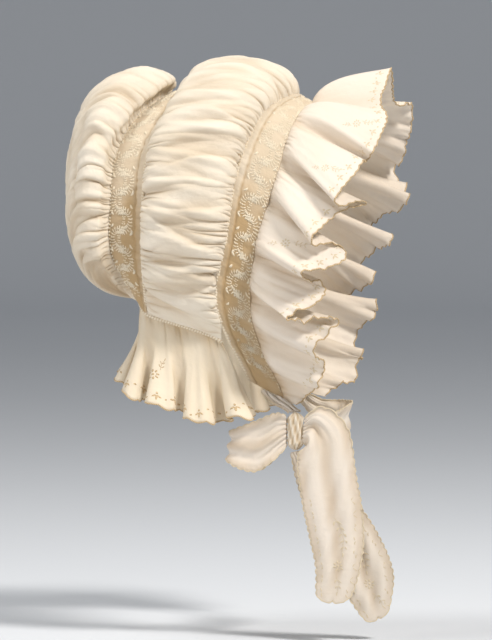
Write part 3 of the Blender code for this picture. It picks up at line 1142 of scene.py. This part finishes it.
@dataclass
class CrownPuff:
    """The puff over the head, gathered into a piping on each side."""

    rows: int = 1080
    columns: int = 42
    overhang: float = 0.1
    tuck: float = 0.6
    wall: float = 0.6
    gathers: Gathers = Gathers(spacing=3.1, depth=1.9, width=0.52, reach=(9, 28), long_share=0.2, drift=0.10, seed=3)
    rear_seed: int = 8
    hollows: Hollows = Hollows(spacing=8.5, depth=3.2, width=4.4, length=(13, 30), drift=0.17, seed=5)

    def ground(self) -> Sheet:
        """The smooth puff before its gathers.

        Returns:
            The sheet.
        """
        stations = np.linspace(-1, 1, self.rows + 1)
        front = arch(BAND_SEAM, stations * CROWN_FRONT_REACH)
        back = arch(CROWN_BACK_SEAM, stations)
        way = back - front
        inset = self.tuck * unit(way)
        share = np.linspace(0, 1, self.columns + 1)[None, :, None]
        flat = (front + inset)[:, None] + (way - 2 * inset)[:, None] * share
        height = spline(np.array(CROWN_PUFF_HEIGHT, float)[:, None], np.abs(stations))
        turn = np.linspace(0, math.pi, self.columns + 1)
        lean = 0.5 - 0.5 * np.cos(turn) * (1 + self.overhang * height / CROWN_PUFF_HEIGHT[0] * np.sin(turn))
        grid = flat[:, :1] + (flat[:, -1:] - flat[:, :1]) * lean[..., None]
        return Sheet(grid + Sheet(flat).normals() * (height * np.sin(turn))[..., None])

    def sheet(self) -> Sheet:
        """The gathered puff.

        Returns:
            The sheet.
        """
        base = self.ground()
        stations = np.linspace(-1, 1, self.rows + 1)
        away = base.away()
        left = away[:, -1:] - away
        front, back = run_lengths(base.points[:, 0]), run_lengths(base.points[:, -1])
        middle = run_lengths(base.points[:, self.columns // 2])
        share = np.linspace(0, 1, self.columns + 1)
        creases = self.gathers.creases(front * middle[-1] / front[-1], away)
        creases += replace(self.gathers, seed=self.rear_seed).creases(back * middle[-1] / back[-1], left)
        hollows = self.hollows.depths(middle, away)
        swell = np.sin(math.pi * share)
        lumps = 1.3 * waver(middle[:, None] + 14 * share, 24, 4) * swell
        lumps += 0.7 * waver(middle[:, None] - 19 * share, 11, 6) * swell
        ends = 0.25 + 0.75 * smooth_step((1 - np.abs(stations)) * 10)[:, None]
        out = base.raised((1.0 + lumps - creases - hollows) * ends)
        out.fold = puff_shade(creases, 2.2, hollows)
        out.points = drawn_to_nape(out.points, stations, 1 - (1 - CROWN_SEAM_PLACE) * share)
        return out

    def build(self, wardrobe: Wardrobe) -> None:
        """Makes and dresses the puff."""
        dress(self.sheet().build("crown_puff_cloth", self.wall, wardrobe.mull), ["crown_puff"])


@dataclass
class BackPuff:
    """The puff that holds the hair, gathered to the rear band and drawn in at the nape."""

    rows: int = 900
    columns: int = 50
    wall: float = 0.6
    gathers: Gathers = Gathers(spacing=3.2, depth=1.9, width=0.55, reach=(11, 36), long_share=0.26, drift=0.07, seed=12)
    pleats: Gathers = Gathers(spacing=6.5, depth=1.9, width=1.5, reach=(26, 80), long_share=0.5, drift=0.0, seed=17)
    hollows: Hollows = Hollows(spacing=8.5, depth=3.6, width=4.2, length=(20, 54), drift=0.10, seed=19)
    crossing: Hollows = Hollows(spacing=8.5, depth=3.0, width=3.6, length=(26, 62), drift=0.05, seed=23)

    def sheet(self) -> Sheet:
        """The gathered puff.

        Returns:
            The sheet.
        """
        stations = np.linspace(-1, 1, self.rows + 1)
        share = np.linspace(0, 1, self.columns + 1)
        sections = np.stack([arch(half, stations) for half in BACK_SECTIONS])
        base = Sheet(spline(sections, share).transpose(1, 0, 2))
        away = base.away()
        left = away[:, -1:] - away
        broad = run_lengths(base.points[:, self.columns // 3])
        packed = np.linalg.norm(np.gradient(base.points, axis=0), axis=-1)
        room = np.clip(packed / np.median(packed), 0.06, 1)
        creases = self.gathers.creases(broad, away)
        creases += self.pleats.creases(broad, left) * smooth_step(left / 10)
        hollows = self.hollows.depths(broad, np.minimum(away, 150))
        round_back = smooth_step((share - 0.3) / 0.2) * smooth_step((0.97 - share) / 0.12)
        round_back = round_back * smooth_step((0.85 - np.abs(stations)) / 0.3)[:, None]
        sideways = run_lengths(base.points).T
        across = self.crossing.depths(away[self.rows // 2], sideways).T * round_back
        hollows = np.maximum(hollows * (1 - 0.6 * round_back), across)
        swell = np.sin(math.pi * np.clip(share * 1.15, 0, 1))
        lumps = 1.4 * waver(broad[:, None] + 18 * share, 26, 9) * swell + 0.8 * waver(broad[:, None], 12, 10) * swell
        ends = smooth_step((1 - np.abs(stations)) * 12)[:, None]
        sewn = 1 - smooth_step((np.abs(stations) - 0.6) / 0.15)[:, None] * (1 - smooth_step(away / 5))
        out = base.raised((1.0 + lumps - creases - hollows) * room * (0.15 + 0.85 * ends) * sewn)
        out.fold = puff_shade(creases, 2.4, hollows)
        places = BACK_SEAM_PLACE - (BACK_SEAM_PLACE - BACK_PUFF_PLACE) * share
        out.points = drawn_to_nape(out.points, stations, places)
        last = smooth_step((share - 0.96) / 0.04)[None, :, None]
        out.points = out.points + last * (arch(NECK_SEAM, BACK_PUFF_PLACE * stations)[:, None] - out.points[:, -1:])
        return out

    def build(self, wardrobe: Wardrobe) -> None:
        """Makes and dresses the puff."""
        dress(self.sheet().build("back_puff_cloth", self.wall, wardrobe.mull), ["back_puff"])


@dataclass
class Band:
    """A flat band between two seams, with a drawn heading along one side and worked with fronds on the rest."""

    name: str
    node: str
    front: Table
    back: Table
    seed: int
    groove: float
    nape: tuple[float, float] | None = None
    rows: int = 360
    columns: int = 32
    crown: float = 0.6
    wall: float = 1.0
    rib_spacing: float = 2.3
    shade_below: float = 60.0
    shade_depth: float = 55.0
    span: float = 15.5
    dot_spacing: float = 2.6

    def sheet(self) -> Sheet:
        """The band's ground.

        Returns:
            The sheet.
        """
        stations = np.linspace(-1, 1, self.rows + 1)
        front, back = arch(self.front, stations), arch(self.back, stations)
        share = np.linspace(0, 1, self.columns + 1)
        base = Sheet(front[:, None] + (back - front)[:, None] * share[None, :, None])
        run, away = base.run(), base.away()
        heading = smooth_step((share - self.groove) * np.sign(self.groove - 0.5) / 0.04)
        wander = self.groove + 0.02 * waver(run, 11, self.seed + 1)[:, None]
        groove = np.exp(-(((share - wander) / 0.035) ** 2)) * (0.75 + 0.35 * waver(run, 6, self.seed + 2)[:, None])
        ribs = 0.3 * np.sin(TAU * run / self.rib_spacing + 2 * waver(run, 14, self.seed))[:, None] * heading
        gathers = Gathers(spacing=4.2, depth=0.5, width=0.6, reach=(5, 16), long_share=0.3, drift=0.05, seed=self.seed)
        creases = gathers.creases(run - run.min(), away)
        crown = self.crown * np.sin(math.pi * share) + 0.5 * heading - 0.9 * groove
        out = base.raised(crown + ribs - creases + 0.35 * waver(run, 17, self.seed)[:, None])
        # Painted shade: darker in the band's creases and groove and toward its lower end, most beside the groove; off
        # its heading the band is also set a little darker.
        low = smooth_step((-self.shade_below - base.points[..., 2]) / self.shade_depth)
        beside = np.exp(-(((share - self.groove + 0.16 * np.sign(self.groove - 0.5)) / 0.17) ** 2))
        out.fold = 0.2 - 0.2 * heading + 0.4 * np.clip(creases, 0, 1) + 0.6 * groove + low * (0.65 + 0.75 * beside)
        if self.nape:
            out.points = drawn_to_nape(out.points, stations, np.interp(share, (0, 1), self.nape))
        return out

    def scrolls(self, work: Needlework, panel: Panel) -> None:
        """Sweeping fronds that turn over one after the other along the band, with leaves and dots between.

        Args:
            work: The stitching that it is added to.
            panel: The band's ground.
        """
        place, end, side = panel.run[8], panel.run[-9], 1
        centre = self.groove / 2 if self.groove > 0.5 else (1 + self.groove) / 2
        while place < end - 6:
            width = float(np.interp(place + 9, panel.run, panel.width))
            share = np.linspace(0, 1, 9)
            middle = centre * width
            for swing, length in ((0.27, 0.125), (0.07, 0.10)):
                down = middle - side * swing * width * np.cos(math.pi * share)
                along = place + self.span * share + (2.4 + 9 * (0.27 - swing)) * np.sin(TAU * share)
                work.fern(along, down, min(3.4, width * length), 1.7, 72)
            work.leaf(place + 0.30 * self.span, middle + side * 0.24 * width, side * 35, 4.6, 2.0, 0.12 * side)
            work.dot(place + 0.50 * self.span, middle + side * 0.31 * width, 0.9)
            work.leaf(place + 0.80 * self.span, middle - side * 0.24 * width, 180 + side * 40, 4.2, 1.8, -0.12 * side)
            place += self.span - 2.0
            side = -side
        far = 0.045 if self.groove > 0.5 else 0.955
        for place in np.arange(panel.run[4], panel.run[-5], self.dot_spacing):
            work.dot(place, float(np.interp(place, panel.run, panel.width)) * far, 0.85)

    def build(self, wardrobe: Wardrobe) -> None:
        """Makes and dresses the band and its stitching.

        Args:
            wardrobe: The finishes.
        """
        sheet = self.sheet()
        dress(sheet.build(self.name, self.wall, wardrobe.ground), [self.node])
        panel = Panel(sheet)
        work = Needlework(panel, self.wall / 2 + 0.9)
        self.scrolls(work, panel)
        dress(work.build(self.name + "_stitching", wardrobe.thread))


@dataclass
class Piping:
    """A covered cord along a seam."""

    name: str
    node: str
    seam: Table
    radius: float = PIPING_DIAMETER / 2 - 0.05
    rib: float = 0.16
    rib_spacing: float = 2.1
    sides: int = 10

    def build(self, wardrobe: Wardrobe) -> None:
        """Makes and dresses the cord.

        Args:
            wardrobe: The finishes.
        """
        path = arch(self.seam, np.linspace(-1, 1, 901))
        cord = tube(path, self.radius, self.sides)
        turn = np.arange(self.sides + 1)[None, :] / self.sides * TAU
        twist = turn + run_lengths(path)[:, None] * TAU / self.rib_spacing
        ribs = unit(cord.points - path[:, None]) * (self.rib * np.sin(twist))[..., None]
        # Painted shade in the grooves of the twist.
        cord = Sheet(cord.points + ribs, 0.45 - 0.35 * np.sin(twist))
        dress(cord.build(self.name, 0, wardrobe.cord), [self.node])


@dataclass
class Frill:
    """A fluted frill with a scalloped hem, gathered into its seam."""

    name: str
    node: str
    seam: Table
    right: Table
    left: Table
    steps: int
    tuck: float
    top_bow: float
    flat: tuple[float, float]
    seed: int
    rosettes: tuple[tuple[float, float, float], ...]
    right_rounding: float = 5
    ripple: float = 1.3
    flute: float = 0.0
    curl: float = 0.0
    # Whether the frill takes the darker nape mull and the brown edging thread.
    darker_cloth: bool = False
    bow: float = 5
    rounding: float = 5
    columns: int = 34
    wall: float = 0.4
    scallop: float = 5.6
    sprig_spacing: float = 8.5
    sprig_rise: float = 7.5

    def course(self) -> tuple[np.ndarray, np.ndarray, np.ndarray]:
        """The frill's rows, from the right end to the left.

        Returns:
            Their stations along the seam, their hem points and their turns in radians.
        """
        right, left = hem_side(self.right, self.steps), hem_side(self.left, self.steps)
        stations = np.concatenate([-right[0][:0:-1], left[0]])
        hem = np.concatenate([right[1][:0:-1] * (1, -1, 1), left[1]])
        return stations, hem, math.pi * np.concatenate([right[2][:0:-1], left[2]])

    def ground(self) -> Sheet:
        """The fluted cloth before its ripples.

        Returns:
            The sheet.
        """
        stations, hem, turns = self.course()
        base = arch(self.seam, stations)
        along = unit(np.gradient(base, axis=0))
        way = hem - base
        depth = np.linalg.norm(way, axis=1, keepdims=True)
        size = np.minimum(depth / FULL_DEPTH, 1)
        spread = np.where(stations < 0, -self.right_rounding, self.rounding)
        rounding = spread * (0.6 * np.sin(turns) + 0.5 * np.sin(2 * turns))
        bow = np.interp(np.abs(stations), (0, 0.25), (self.top_bow, self.bow)) * (0.4 + 0.6 * np.cos(turns))
        bow = bow[:, None] * size * unit(np.cross(way, along))
        share = np.linspace(0, 1, self.columns + 1)[None, :, None]
        scallops = np.abs(np.sin(math.pi * run_lengths(hem) / self.scallop)) ** 0.7 * 1.5
        reach = (self.tuck / depth)[:, None] * (1 - share) + share + (scallops[:, None] / depth)[:, None] * share**8
        points = base[:, None] + (way + along * (rounding[:, None] * size))[:, None] * reach
        return Sheet(points + bow[:, None] * np.sin(math.pi * share**0.65))

    def ripples(self, run: np.ndarray, part: np.ndarray) -> np.ndarray:
        """Uneven ripples and flutes, with curls along the hem's far and lower stretches.

        Args:
            run: Place of each row along the middle of the cloth, in millimetres.
            part: Each column's share of the way to the hem.

        Returns:
            Height in millimetres at each point.
        """
        stations, hem, turns = self.course()
        edge = run_lengths(hem)[:, None]
        depth = np.linalg.norm(hem - arch(self.seam, stations), axis=1, keepdims=True)
        broad, small = waver(run[:, None] + 6 * part, 21, self.seed), waver(run[:, None], 9, self.seed + 1)
        ripple = (self.ripple * broad + 0.6 * small) * part**1.3 + self.flute * np.cos(turns)[:, None] * part**0.8
        ripple = ripple * np.minimum(depth / FULL_DEPTH, 1)
        far = smooth_step((stations - 0.06) / 0.1)
        curled = np.where(stations < 0, self.lowness(stations), far)[:, None]
        curls = waver(edge - 9 * part, 19, self.seed + 3) * part**2.5 + 0.7 * waver(edge, 8, self.seed + 4) * part**5
        return ripple + self.curl * curled * curls

    def lowness(self, stations: np.ndarray) -> np.ndarray:
        """How far rows are in the lower half of the frill, from 0 to 1."""
        return smooth_step((np.abs(stations) - 0.5) / 0.2)

    def sheet(self) -> Sheet:
        """The frill's cloth.

        Returns:
            The sheet.
        """
        base = self.ground()
        stations, _, turns = self.course()
        away = base.away()
        run = run_lengths(base.points[:, self.columns // 2])
        part = np.linspace(0, 1, self.columns + 1)[None, :]
        gathers = Gathers(spacing=3.0, depth=0.9, width=0.6, reach=(5, 17), long_share=0.16, drift=0.06, seed=self.seed)
        creases = gathers.creases(run, away)
        out = base.raised(self.ripples(run, part) - creases * smooth_step(away / 3 + 0.3))
        # Painted shade: darker in the gathers' creases, in the flutes' valleys and along the seam, most in the lower
        # half.
        valley = (0.5 - 0.5 * np.cos(turns))[:, None] * (1 - 0.5 * part)
        seam_shade = (0.2 + 0.3 * self.lowness(stations)[:, None]) * (1 - smooth_step(away / 12))
        out.fold = np.clip(creases / 2.0, 0, 1) * 0.7 + 0.32 * valley + seam_shade
        return out

    def sprigs(self, sheet: Sheet) -> Needlework:
        """Leaves along the hem, and rosettes with leaves below them.

        Args:
            sheet: The frill's cloth.

        Returns:
            The stitching.
        """
        panel = Panel(sheet)
        work = Needlework(panel, self.wall / 2 + 0.35)
        rows = np.arange(len(panel.run))
        for place in np.arange(panel.run[6], panel.run[-7], self.sprig_spacing):
            down = float(np.interp(place, panel.run, panel.width)) - self.sprig_rise
            if down > 20:
                for heading, length in ((90, 4.6), (48, 3.6), (132, 3.6), (-90, 2.4)):
                    work.leaf(place, down, heading, length, 1.5)
                work.dot(place + 4.2, down + 2.2, 0.8)
        for share, depth, size in self.rosettes:
            step = np.interp(share, [row[0] for row in self.right], np.arange(len(self.right)))
            row = (len(self.right) - 1 - step) * self.steps
            place, width = float(np.interp(row, rows, panel.run)), float(np.interp(row, rows, panel.width))
            work.rosette(place, width * depth, size)
            work.spray(place + size, width * depth + size, 70, size * 2.6, 3, size * 0.8)
            work.spray(place - size, width * depth - size, -110, size * 1.6, 2, size * 0.7)
        return work

    def build(self, wardrobe: Wardrobe) -> None:
        """Makes and dresses the frill, its edging and its stitching.

        Args:
            wardrobe: The finishes.
        """
        sheet = self.sheet()
        # The neck frill takes the darker nape mull and the brown edging thread.
        finish, thread = (wardrobe.nape, wardrobe.edging) if self.darker_cloth else (wardrobe.sheer, wardrobe.sprig)
        cloth = dress(sheet.build(self.name, self.wall, finish), [self.node])
        edge = tube(sheet.points[:, -1], 0.55, 6)
        edging = dress(edge.build(self.name + "_edging", 0, wardrobe.edging))
        stitching = dress(self.sprigs(sheet).build(self.name + "_stitching", thread))


@dataclass
class Tie:
    """A strip of the ties, with soft lengthwise folds and scalloped edges."""

    name: str
    node: str
    rows: Table
    flat: tuple[float, float]
    area: float
    held: Hold
    seed: int
    open_end: bool = False
    fold: float = 1.1
    steps: int = 150
    columns: int = 24
    wall: float = 0.5
    scallop: float = 5.0
    pinched: float = 22

    def sheet(self) -> Sheet:
        """The strip's cloth.

        Returns:
            The sheet.
        """
        length = np.linspace(0, 1, self.steps + 1)
        table = spline(self.rows, length)
        centre, half_width, across = table[:, :3], table[:, 3], unit(table[:, 4:])
        ahead = unit(np.gradient(centre, axis=0))
        normal = unit(np.cross(ahead, across))
        share = np.linspace(-1, 1, self.columns + 1)
        run = run_lengths(centre)
        if self.open_end:
            corner = min(8.0, 0.7 * half_width[-1])
            half_width = half_width - corner * (1 - np.sqrt(1 - np.clip(1 - (run[-1] - run) / corner, 0, 1) ** 2))
        edge = smooth_step((np.abs(share) - 0.8) / 0.2)
        scallops = 1.3 * np.abs(np.sin(math.pi * run / self.scallop)) ** 0.7 * np.clip(half_width / 12, 0, 1)
        width = half_width[:, None] * share + scallops[:, None] * edge * np.sign(share)
        ease = np.clip(2.5 * np.sin(math.pi * length), 0.1, 1)
        folds = -self.fold * np.cos(TAU * (share + 1))[None, :] * ease[:, None]
        from_ends = [run] if self.open_end else [run, run[-1] - run]
        pinch = sum(np.exp(-((place / self.pinched) ** 2)) for place in from_ends)
        fine = 0.8 * np.sin(TAU * (share[None, :] * 3.2 + 0.2 * waver(run, 40, self.seed)[:, None]))
        soft = 0.7 * waver(run[:, None] * 0.4 + share * half_width[:, None], 13, self.seed + 2)
        height = folds + fine * pinch[:, None] + soft * ease[:, None]
        points = centre[:, None] + across[:, None] * width[..., None] + normal[:, None] * height[..., None]
        if self.open_end:
            last = smooth_step((length - 0.93) / 0.07)
            drop = 1.8 * np.abs(np.sin(math.pi * (share * half_width[-1]) / self.scallop)) ** 0.7
            points = points + ahead[:, None] * (last[:, None] * drop)[..., None]
        # Painted shade: darker in the valleys of the lengthwise folds, lighter on the soft swells.
        fold = np.clip(0.16 + 0.3 * np.cos(TAU * (share + 1))[None, :] * ease[:, None] - 0.15 * soft, 0, 1)
        return Sheet(points, fold, 1.0)

    def column(self, sheet: Sheet) -> Needlework:
        """A column of leaves down the strip's end, with a rosette in it.

        Args:
            sheet: The strip's cloth.

        Returns:
            The stitching.
        """
        panel = Panel(sheet)
        work = Needlework(panel, self.wall / 2 + 0.4)
        end = float(panel.run[-1])

        def middle(back: float) -> float:
            """The strip's middle at a distance from its end."""
            return float(np.interp(end - back, panel.run, panel.width)) / 2

        work.spray(end - 58, middle(58), 4, 24, 5, 4.6)
        work.rosette(end - 24, middle(24), 4.4)
        work.spray(end - 17, middle(17), 3, 10, 2, 4.0)
        for back in np.arange(6, 70, 9):
            for side in (-1, 1):
                down = middle(back) * (1 + side * 0.72)
                work.leaf(end - back, down, 20 * side, 3.4, 1.3)
                work.leaf(end - back, down, 180 - 20 * side, 3.0, 1.2)
        return work

    def build(self, wardrobe: Wardrobe) -> None:
        """Makes and dresses the strip, its edging and the stitching on its end.

        Args:
            wardrobe: The finishes.
        """
        sheet = self.sheet()
        cloth = dress(sheet.build(self.name, self.wall, wardrobe.sheer), [self.node])
        round_it = [sheet.points[:, 0], sheet.points[::-1, -1]]
        if self.open_end:
            round_it = [np.concatenate([sheet.points[:, 0], sheet.points[-1, 1:-1], sheet.points[::-1, -1]])]
        for index, path in enumerate(round_it):
            edge = tube(path, 0.5, 6).build(f"{self.name}_edging_{index + 1}", 0, wardrobe.sprig)
            dress(edge)
        if self.open_end:
            dress(self.column(sheet).build(self.name + "_stitching", wardrobe.sprig))


@dataclass
class Knot:
    """The squeezed knot with the wraps of the ties across it."""

    centre: tuple[float, float, float] = (51, -61.5, -247)
    size: tuple[float, float, float] = (12, 12, 26)

    def build(self, wardrobe: Wardrobe) -> None:
        """Makes and dresses the knot.

        Args:
            wardrobe: The finishes.
        """
        up = np.linspace(-0.499, 0.499, 61) * math.pi
        turn = np.linspace(0, TAU, 73)
        tilt, spin = np.meshgrid(up, turn, indexing="ij")
        wrap = 0.10 * np.cos(7 * spin + 5 * np.sin(tilt)) + 0.07 * np.cos(11 * spin - 7 * np.sin(tilt) + 1)
        waist = 1 - 0.2 * np.exp(-((np.sin(tilt) / 0.25) ** 2)) + 0.08 * np.cos(9 * np.sin(tilt))
        radius = 0.5 * np.cos(tilt) ** 0.8 * waist * (1 + wrap)
        ball = np.stack([radius * np.cos(spin), radius * np.sin(spin), 0.5 * np.sin(tilt)], -1)
        points = np.array(self.centre) + ball * np.array(self.size)
        # Painted shade in the recesses between the wraps.
        sheet = Sheet(points, np.clip(0.5 - 3.5 * wrap, 0, 1))
        dress(sheet.build("tie_knot_cloth", 0, wardrobe.mull), ["tie_knot"])


@dataclass
class Studio:
    """A pale floor that curves up all round, soft lights and the camera."""

    azimuth: float = 11.0
    elevation: float = 2.0
    distance: float = 3.5
    frame_height: float = 0.448
    aim_right: float = 0.0042
    aim_up: float = -0.1729
    floor: float = -0.392

    def paper(self) -> None:
        """Makes the floor."""
        rise = np.linspace(0.1, math.pi / 2, 16)
        radii = np.concatenate([[0.0], np.geomspace(0.3, 7, 29), 7 + 2 * np.sin(rise)])[:, None]
        heights = np.concatenate([np.zeros(30), 3 - 3 * np.cos(rise)])[:, None]
        turn = np.linspace(0, TAU, 97)
        points = np.stack([radii * np.cos(turn), radii * np.sin(turn), self.floor + heights + 0 * turn], -1)
        Sheet(points / MM, outward=1.0).build("studio_floor", 0, PaperFinish().material())

    def light(self, name: str, place: tuple[float, float, float], size: float, power: float, colour: Colour) -> None:
        """A soft light that faces the cap.

        Args:
            name: Its name.
            place: Where it stands, in metres.
            size: Its width in metres.
            power: Its power in watts.
            colour: Its colour.
        """
        lamp = bpy.data.lights.new(name, "AREA")
        lamp.size = size
        lamp.energy = power
        lamp.color = colour
        made = add(name, lamp)
        made.location = place
        made.rotation_euler = (Vector((0, 0, -0.12)) - Vector(place)).to_track_quat("-Z", "Y").to_euler()

    def camera(self) -> None:
        """Makes the camera."""
        turn, lift = math.radians(self.azimuth), math.radians(self.elevation)
        back = Vector((math.sin(turn) * math.cos(lift), -math.cos(turn) * math.cos(lift), math.sin(lift)))
        right = Vector((math.cos(turn), math.sin(turn), 0))
        up = back.cross(right)
        data = bpy.data.cameras.new("camera")
        data.lens = 36 * self.distance / self.frame_height
        data.clip_start, data.clip_end = 0.1, 60
        made = add("camera", data)
        made.location = right * self.aim_right + up * self.aim_up + back * self.distance
        made.rotation_euler = back.to_track_quat("Z", "Y").to_euler()
        bpy.context.scene.camera = made

    def build(self) -> None:
        """Sets the studio up."""
        self.paper()
        self.light("key", (1.7, -1.25, 2.0), 0.6, 87, (1.0, 0.965, 0.92))
        self.light("fill", (-2.0, -2.2, 0.7), 1.2, 32, (1.0, 0.975, 0.955))
        self.light("top", (-0.8, -0.3, 2.0), 0.9, 17, (1.0, 0.985, 0.95))
        world = bpy.data.worlds.new("studio_world")
        world.use_nodes = True
        sky = world.node_tree.nodes["Background"].inputs
        sky["Color"].default_value = (0.90, 0.92, 0.95, 1)
        sky["Strength"].default_value = 0.31
        bpy.context.scene.world = world
        bpy.context.scene.view_settings.view_transform = "Standard"
        self.camera()


def main() -> None:
    """Builds the cap's pieces in order, then the studio."""
    logging.basicConfig(level=logging.INFO, format="%(message)s")
    wardrobe = Wardrobe()
    CrownPuff().build(wardrobe)
    BackPuff().build(wardrobe)
    Band("front_band_cloth", "front_band", FRILL_SEAM, BAND_SEAM, seed=21, groove=0.79).build(wardrobe)
    rear_places = (CROWN_SEAM_PLACE, BACK_SEAM_PLACE)
    Band("rear_band_cloth", "rear_band", CROWN_BACK_SEAM, BACK_SEAM, 22, 0.2, nape=rear_places).build(wardrobe)
    Piping("front_cord", "front_piping", BAND_SEAM).build(wardrobe)
    Piping("rear_cord", "rear_piping", CROWN_BACK_SEAM).build(wardrobe)
    Piping("nape_cord", "nape_binding", NECK_SEAM).build(wardrobe)
    Frill(
        "face_frill_cloth",
        "face_frill",
        FRILL_SEAM,
        RIGHT_FRILL_HEM,
        LEFT_FRILL_HEM,
        steps=20,
        tuck=-0.8,
        top_bow=9,
        flat=(0.85, 0.062),
        seed=31,
        rosettes=((0.52, 0.45, 4.2), (0.13, 0.72, 3.4), (0.26, 0.7, 3.2)),
        right_rounding=1.5,
        curl=2.4,
    ).build(wardrobe)
    Frill(
        "neck_frill_cloth",
        "neck_frill",
        NECK_SEAM,
        NECK_FRILL_HEM,
        NECK_FRILL_HEM,
        steps=22,
        tuck=0.0,
        top_bow=5,
        flat=(0.36, 0.061),
        seed=37,
        rosettes=((0.56, 0.66, 4.6),),
        ripple=2.2,
        flute=3.2,
        darker_cloth=True,
    ).build(wardrobe)
    for tie in (
        Tie("right_strap_cloth", "right_strap", RIGHT_STRAP, (0.027, 0.031), 0.00075, Hold.HUNG, 41, steps=50),
        Tie("left_strap_cloth", "left_strap", LEFT_STRAP, (0.040, 0.165), 0.0048, Hold.HUNG, 43),
        Tie("tie_loop_cloth", "tie_loop", TIE_LOOP, (0.048, 0.110), 0.0034, Hold.FOLDED, 45, steps=190),
        Tie("right_tail_cloth", "right_tail", RIGHT_TAIL, (0.044, 0.125), 0.0048, Hold.HUNG, 47, True),
        Tie("left_tail_cloth", "left_tail", LEFT_TAIL, (0.042, 0.125), 0.0044, Hold.HUNG, 49, True),
    ):
        tie.build(wardrobe)
    Knot().build(wardrobe)
    Studio().build()


if __name__ == "__main__":
    main()
